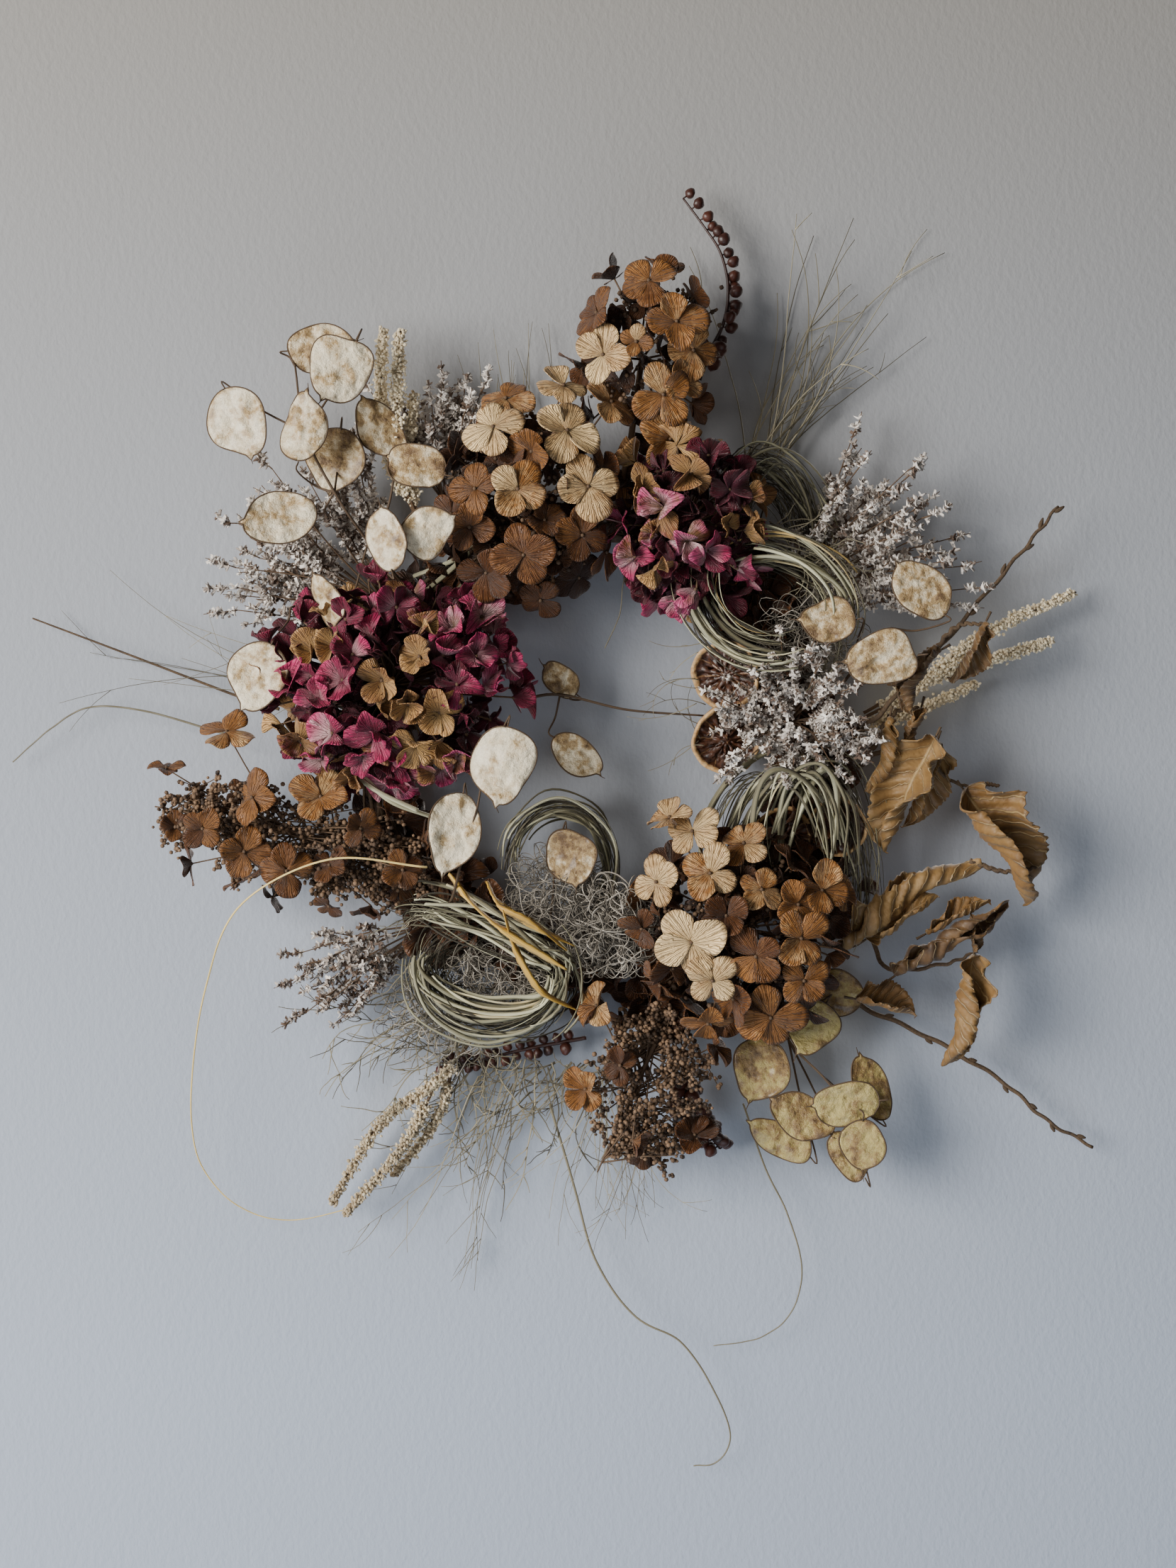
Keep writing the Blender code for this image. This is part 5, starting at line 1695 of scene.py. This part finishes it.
class WREATH_OT_catkins(Maker, bpy.types.Operator):
    """Builds the fuzzy cream spikes from many small tufts"""

    bl_idname = "wreath.catkins"
    bl_label = "Cream spikes"
    seed = 71
    # Each group: its spikes as (route, width)
    groups = {
        "catkin_upper": [([(-93, 122, 25), (-106, 150, 34), (-112, 190, 36), (-111, 223, 36)], 10.5),
                         ([(-93, 122, 25), (-102, 150, 38), (-103, 190, 42), (-101, 222, 42)], 10.5),
                         ([(-93, 122, 25), (-97, 150, 34), (-95, 190, 34)], 9.5)],
        "catkin_lower": [([(-64, -160, 20), (-84, -184, 20), (-114, -206, 18), (-142, -252, 14)], 8.0),
                         ([(-84, -184, 20), (-100, -216, 24), (-134, -256, 20)], 8.0),
                         ([(-74, -172, 16), (-84, -205, 16), (-108, -236, 14)], 6.5)],
        "catkin_right": [([(140, 10, 14), (176, 30, 20), (214, 60, 22), (266, 84, 16)], 10),
                         ([(150, 18, 14), (180, 34, 20), (216, 46, 26), (252, 57, 22)], 10),
                         ([(140, 10, 14), (176, 18, 16), (212, 34, 16)], 9)],
    }

    def build(self, settings, materials, rng):
        tuft = ball()
        for name, spikes in self.groups.items():
            stalks, fuzz, tones = Bundle(), [], []
            darker = 0.3 if name == "catkin_lower" else -0.15
            for route, wide in spikes:
                path = smooth(route, 60)
                stalks.stem(path, np.linspace(2.0, 1.0, 60), sides=6, tone=0.5)
                span = np.linalg.norm(np.diff(path, axis=0), axis=1).sum()
                for _ in range(int(span * 13)):
                    share = 0.2 + 0.8 * rng.random()
                    at = path[int(share * 59)] + rng.normal(0, 0.6, 3)
                    way = unit(rng.normal(size=3))
                    clump = 0.85 + 0.3 * math.sin(share * span * 1.1)
                    reach = wide / 2 * (1 - 0.45 * share**4) * clump * rng.uniform(0.35, 1.0)
                    fuzz.append(sized(stand(at + way * reach, way), *rng.uniform(1.0, 2.5, 3)))
                    # Tufts nearer the stalk get darker tones: painted shade within the fuzz
                    tones.append(reach / wide * 1.6 + rng.uniform(-0.1, 0.3) - darker)
            spike = Bundle()
            spike.copies(tuft, fuzz, np.array(tones))
            spike.piece(f"{name}_fuzz", materials["catkin"], "catkin", [name])
            stalks.piece(f"{name}_stalks", materials["stalk"], "catkin")


class WREATH_OT_seed_spikes(Maker, bpy.types.Operator):
    """Builds the dark spikes with their round capsules"""

    bl_idname = "wreath.seed_spikes"
    bl_label = "Dark seed spikes"
    seed = 72
    # Each spike: its route, how many capsules, and their size
    spikes = {
        "seed_spike_top": ([(60, 200, 16), (66, 216, 16), (72, 228, 18), (75, 240, 20), (75, 254, 20),
                            (71, 269, 20), (63, 282, 19), (51, 299, 17)], 19, 7.8),
        "seed_spike_bottom": ([(56, -176, 18), (52, -196, 18), (62, -208, 18), (71, -220, 19)], 34, 8.4),
        "seed_spike_left": ([(-2, -160, 14), (-34, -166, 14), (-60, -172, 14), (-82, -174, 14)], 26, 6.0),
    }

    def build(self, settings, materials, rng):
        seed = capsule()
        for name, (route, count, size) in self.spikes.items():
            path = smooth(route, 80)
            spike, seeds = Bundle(), []
            spike.stem(path, np.linspace(2.4, 1.2, 80), sides=6, tone=0.2)
            for number in range(count):
                index = int(8 + 71 * number / (count - 1))
                way = unit(path[min(index + 1, 79)] - path[index - 1])
                flip = 1 if name == "seed_spike_top" else 1 - 2 * (number % 2)
                side = unit(np.cross(way, [0, 0, 1])) * flip
                side = unit(side + np.array([0, 0, 0.7 * (number % 3 - 1)]) + rng.normal(0, 0.3, 3))
                foot = path[index]
                place = foot + side * size * 0.62
                spike.stem(smooth([foot, (foot + place) / 2, place], 4), 0.9, sides=4, tone=0.2)
                spin = rng.uniform(0, 6)
                across = size * (1 - 0.25 * number / count) * rng.uniform(0.9, 1.1)
                seeds.append(stand(place, unit(side + way * 0.5), spin, across))
            spike.copies(seed, seeds, rng.uniform(0.1, 0.9, len(seeds)))
            spike.piece(f"{name}_capsules", materials["seed_pod_dark"], "seed_pod_dark", [name])


class WREATH_OT_fine_grass(Maker, bpy.types.Operator):
    """Fans the hair-fine grass plumes and trails the long blades"""

    bl_idname = "wreath.fine_grass"
    bl_label = "Fine grass and long blades"
    seed = 81
    # Each plume: its fans as (feet, ways, lengths, stems, width, bow, tones, branches, kink), then its single
    # tendrils, then the node it replaces
    plumes = {
        "grass_plume_top_hairs": (
            [(((80, 150, 10), (104, 156, 12)), (50, 94), (70, 155), 20, 0.8, -0.4, (0.1, 1.0), 1, 0.02),
             (((88, 158, 10), (100, 158, 12)), (16, 58), (50, 110), 8, 0.6, 0.3, (0.1, 0.9), 1, 0.03),
             (((-60, 170, 8), (-20, 190, 8)), (82, 104), (24, 52), 18, 0.5, 0.15, (0.1, 0.9), 0, 0.0),
             (((-64, 152, 12), (-50, 160, 12)), (110, 150), (20, 40), 12, 0.5, 0.3, (0.1, 0.9), 1, 0.0)],
            [],
            ["grass_plume_top"],
        ),
        "grass_plume_left_hairs": (
            [(((-98, -130, 16), (-50, -166, 14)), (188, 258), (40, 86), 22, 0.9, 0.5, (-0.3, 0.7), 4, 0.12),
             (((-96, -120, 26), (-60, -166, 24)), (150, 300), (14, 34), 34, 0.8, 0.8, (-0.3, 0.6), 2, 0.2),
             (((-140, 40, 10), (-120, 10, 10)), (158, 184), (100, 160), 8, 0.5, 0.2, (0.1, 0.9), 1, 0.02),
             (((-98, -92, 36), (-50, -84, 44)), (140, 215), (14, 34), 22, 0.6, 0.8, (0.0, 0.9), 1, 0.15)],
            [],
            ["grass_plume_left"],
        ),
        "grass_plume_bottom_hairs": (
            [(((-70, -166, 14), (20, -176, 14)), (212, 300), (38, 84), 26, 0.9, 0.5, (-0.3, 0.8), 4, 0.12),
             (((-80, -164, 22), (10, -174, 20)), (200, 320), (14, 36), 32, 0.8, 0.8, (-0.3, 0.6), 2, 0.2),
             (((-60, -176, 14), (-20, -186, 14)), (215, 262), (76, 128), 12, 0.6, 0.3, (0.1, 0.9), 2, 0.05),
             (((-4, -180, 14), (30, -200, 14)), (240, 292), (46, 92), 30, 0.5, 0.35, (0.1, 0.9), 1, 0.04)],
            [],
            ["grass_plume_bottom"],
        ),
        "inner_tendrils": (
            [(((60, 60, 30), (62, -10, 30)), (120, 230), (18, 42), 12, 0.5, 1.3, (0.1, 0.9), 1, 0.0),
             (((96, 118, 44), (128, 84, 48)), (-60, 60), (16, 40), 26, 0.6, 0.9, (0.2, 1.0), 1, 0.12)],
            [[(40, 100, 40), (20, 92, 38), (16, 70, 36), (8, 52, 34)]],
            [],
        ),
    }
    # Pale blades under the left mophead
    stubs = [[(-48, 106, 30), (-62, 92, 42), (-82, 70, 38)], [(-52, 118, 28), (-70, 98, 38), (-90, 82, 30)],
             [(-58, 112, 22), (-74, 100, 28), (-96, 92, 22)], [(-46, 96, 30), (-58, 84, 40), (-70, 66, 40)],
             [(-128, -12, 60), (-112, -24, 68), (-90, -35, 64)], [(-120, -16, 62), (-104, -30, 66),
                                                                  (-84, -38, 58)]]
    # Each long blade: its route, its width and its tone
    blades = {
        "grass_blade_1": ([(-22, -196, 14), (-9, -240, 14), (3, -281, 16), (24, -311, 18), (50, -326, 18),
                           (68, -353, 16), (77, -378, 14), (70, -393, 12), (57, -396, 10)], 1.5, 0.5),
        "grass_blade_2": ([(84, -196, 14), (96, -231, 16), (108, -256, 16), (116, -286, 16), (110, -311, 14),
                           (93, -325, 12), (68, -330, 10)], 1.2, 0.5),
        "grass_blade_3": ([(-84, -64, 78), (-135, -60, 80), (-182, -84, 68), (-204, -126, 44),
                           (-215, -181, 30), (-213, -223, 24), (-194, -250, 18), (-165, -260, 14),
                           (-127, -253, 12)], 1.15, 1.0),
        "grass_blade_4": ([(-190, 4, 16), (-205, 8, 16), (-244, 19, 14), (-274, 21, 14), (-295, 10, 12),
                           (-318, -9, 8)], 1.5, 0.3),
        "grass_blade_5": ([(-170, 20, 14), (-190, 26, 12), (-253, 50, 12), (-306, 70, 12)], 2.0, 0.0),
    }

    def build(self, settings, materials, rng):
        for name, (fans, tendrils, stands_for) in self.plumes.items():
            plume = Bundle()
            for fan in fans:
                hairs(plume, rng, *fan)
            for route in tendrils:
                plume.stem(smooth(route, 24), 0.6, sides=4, tone=0.3)
            plume.piece(name, materials["fine_grass"], "grass_blade", stands_for)
        stubs = Bundle()
        for route in self.stubs:
            width = 3.4 - 0.8 * np.linspace(0, 1, 30)
            stubs.stem(smooth(route, 30), width, 1.0, face=(0.4, 0.5, 1), sides=6, tone=rng.uniform(0.3, 0.8))
        stubs.piece("olive_blades", materials["grass_blade"], "grass_blade")
        for name, (route, wide, tone) in self.blades.items():
            path = smooth(route, 90)
            path[:, 2] += 0.4 * np.sin(np.arange(90) * 0.7)
            width = np.linspace(wide, wide * 0.5, 90)
            blade = Bundle()
            blade.stem(path, width, width * 0.5, face=(0.2, 0.3, 1), sides=6, tone=tone)
            finish = "straw" if tone > 0.9 else "twig_bark" if tone < 0.1 else "fine_grass"
            blade.piece(f"{name}_trail", materials[finish], "grass_blade", [name])


class WREATH_OT_stage(Maker, bpy.types.Operator):
    """Sets up the wall with its painted light, the soft window light and the camera"""

    bl_idname = "wreath.stage"
    bl_label = "Wall, light and camera"
    # The camera stands this far in metres from a plane this far in millimetres off the door
    view_distance = 1.1
    view_off = 38
    lens = 47.1
    wall_size = 6
    # Each lamp: its place from the ring's middle, its size, its setting and share of it, and its colour
    lamps = {
        "window": ((-1.75, -1.65, 0.25), (1.3, 1.5), "window_power", 1, (1.0, 0.975, 0.93)),
        "room": ((-0.3, -1.4, -1.8), (1.8, 1.2), "room_power", 1, (0.72, 0.84, 1.0)),
        "front": ((0.1, -2.2, -0.2), (1.2, 1.2), "room_power", 0.25, (1.0, 0.98, 0.96)),
        "behind": ((0.6, 1.6, 0.6), (1.5, 1.5), "room_power", 2, (1.0, 0.98, 0.95)),
    }

    def lamp(self, name, place, aim, size, power, colour):
        light = bpy.data.lights.new(name, "AREA")
        light.shape, light.size, light.size_y = "RECTANGLE", size[0], size[1]
        light.energy, light.color = power, colour
        made = bpy.data.objects.new(name, light)
        made.location = place
        made.rotation_euler = (Vector(aim) - Vector(place)).to_track_quat("-Z", "Y").to_euler()
        bpy.context.scene.collection.objects.link(made)

    def build(self, settings, materials, rng):
        middle = Vector((MIDDLE[0], DOOR, MIDDLE[2]))
        bpy.ops.object.select_all(action="DESELECT")
        place = middle + Vector((0, 0.0008, 0))
        bpy.ops.mesh.primitive_plane_add(size=self.wall_size, location=place, rotation=(math.pi / 2, 0, 0))
        wall = bpy.context.object
        bpy.ops.object.transform_apply(location=True, rotation=True, scale=True)
        wall.name = "wall"
        wall.data.materials.append(wall_finish(settings))
        aim = middle + Vector((0, -0.05, 0))
        for name, (place, size, source, share, colour) in self.lamps.items():
            self.lamp(name, middle + Vector(place), aim, size, share * getattr(settings, source), colour)
        world = bpy.data.worlds.new("soft_room")
        world.use_nodes = True
        glow = world.node_tree.nodes["Background"].inputs
        glow["Color"].default_value = (0.82, 0.86, 0.94, 1)
        glow["Strength"].default_value = settings.room_glow
        bpy.context.scene.world = world
        camera = bpy.data.cameras.new("front_view")
        camera.lens = self.lens
        made = bpy.data.objects.new("front_view", camera)
        back = Vector((0, self.view_distance + self.view_off * MM, 0))
        made.location = middle + Vector((-1, 0, -21)) * MM - back
        made.rotation_euler = (math.pi / 2, 0, 0)
        bpy.context.scene.collection.objects.link(made)
        bpy.context.scene.camera = made


# ---------------------------------------------------------------- settings, panel and registration


def length(name, text, default):
    values = {"subtype": "DISTANCE", "unit": "LENGTH"}
    return bpy.props.FloatProperty(name=name, description=text, default=default, min=0, **values)


def colour(name, text, default):
    values = {"min": 0, "max": 1, "size": 3, "subtype": "COLOR"}
    return bpy.props.FloatVectorProperty(name=name, description=text, default=default, **values)


def strength(name, text, default, **values):
    return bpy.props.FloatProperty(name=name, description=text, default=default, min=0, **values)


class WreathSettings(bpy.types.PropertyGroup):
    """Sizes and colours of the wreath's dried materials."""

    floret_across: length("Floret", "Width of a tan hydrangea floret", 0.036)
    mophead_across: length("Mophead floret", "Width of a burgundy hydrangea floret", 0.027)
    blade_width: length("Grass blade", "Usual width of a blade in the coils", 0.0022)
    blades_in_coil: bpy.props.IntProperty(
        name="Blades", description="Blades in the coils, in percent of the usual", default=100, min=10
    )
    petal_dark: colour("Dark petal", "Darkest tan petals", (0.040, 0.014, 0.005))
    petal_tan: colour("Tan petal", "Usual colour of the tan petals", (0.30, 0.125, 0.031))
    petal_pale: colour("Pale petal", "Palest tan petals", (0.94, 0.66, 0.33))
    petal_burgundy: colour("Burgundy", "Deep colour of the mophead petals", (0.10, 0.006, 0.016))
    petal_magenta: colour("Magenta", "Bright colour of the mophead petals", (0.44, 0.024, 0.105))
    grass_colour: colour("Grass", "Usual colour of the coiled grass", (0.20, 0.180, 0.104))
    straw_colour: colour("Straw", "Colour of the flat straws", (0.72, 0.43, 0.065))
    leaf_ochre: colour("Leaf", "Usual colour of the curled leaves", (0.19, 0.097, 0.026))
    # The wall's colour runs between these two by height: painted light low down, painted shade high up
    wall_low_painted_light: colour("Wall", "Colour of the wall low down", (0.385, 0.435, 0.525))
    wall_high_painted_shade: colour("Warm wall", "Colour of the wall high up", (0.262, 0.247, 0.226))
    window_power: strength("Window", "Strength of the window light", 116.0, unit="POWER")
    room_power: strength("Room", "Strength of the light from the room", 20.0, unit="POWER")
    room_glow: strength("Glow", "Strength of the light all round", 0.03)


MAKERS = (
    WREATH_OT_vine_ring,
    WREATH_OT_tied_stems,
    WREATH_OT_hanger,
    WREATH_OT_tan_heads,
    WREATH_OT_burgundy_heads,
    WREATH_OT_panicles,
    WREATH_OT_grass_coils,
    WREATH_OT_straw_ribbons,
    WREATH_OT_moss,
    WREATH_OT_statice,
    WREATH_OT_honesty,
    WREATH_OT_citrus,
    WREATH_OT_leaves,
    WREATH_OT_bare_twig,
    WREATH_OT_catkins,
    WREATH_OT_seed_spikes,
    WREATH_OT_fine_grass,
    WREATH_OT_stage,
)


class WREATH_PT_panel(bpy.types.Panel):
    """Lists the wreath's settings and its makers."""

    bl_idname = "WREATH_PT_panel"
    bl_label = "Harvest Door Wreath"
    bl_space_type = "VIEW_3D"
    bl_region_type = "UI"
    bl_category = "Wreath"

    def draw(self, context):
        for name in WreathSettings.__annotations__:
            self.layout.prop(context.scene.harvest_wreath, name)
        for maker in MAKERS:
            self.layout.operator(maker.bl_idname)


CLASSES = (WreathSettings, *MAKERS, WREATH_PT_panel)


def register():
    for item in CLASSES:
        bpy.utils.register_class(item)
    bpy.types.Scene.harvest_wreath = bpy.props.PointerProperty(type=WreathSettings)


def unregister():
    del bpy.types.Scene.harvest_wreath
    for item in reversed(CLASSES):
        bpy.utils.unregister_class(item)


def main():
    register()
    for maker in MAKERS:
        group, action = maker.bl_idname.split(".")
        getattr(getattr(bpy.ops, group), action)()


if __name__ == "__main__":
    main()
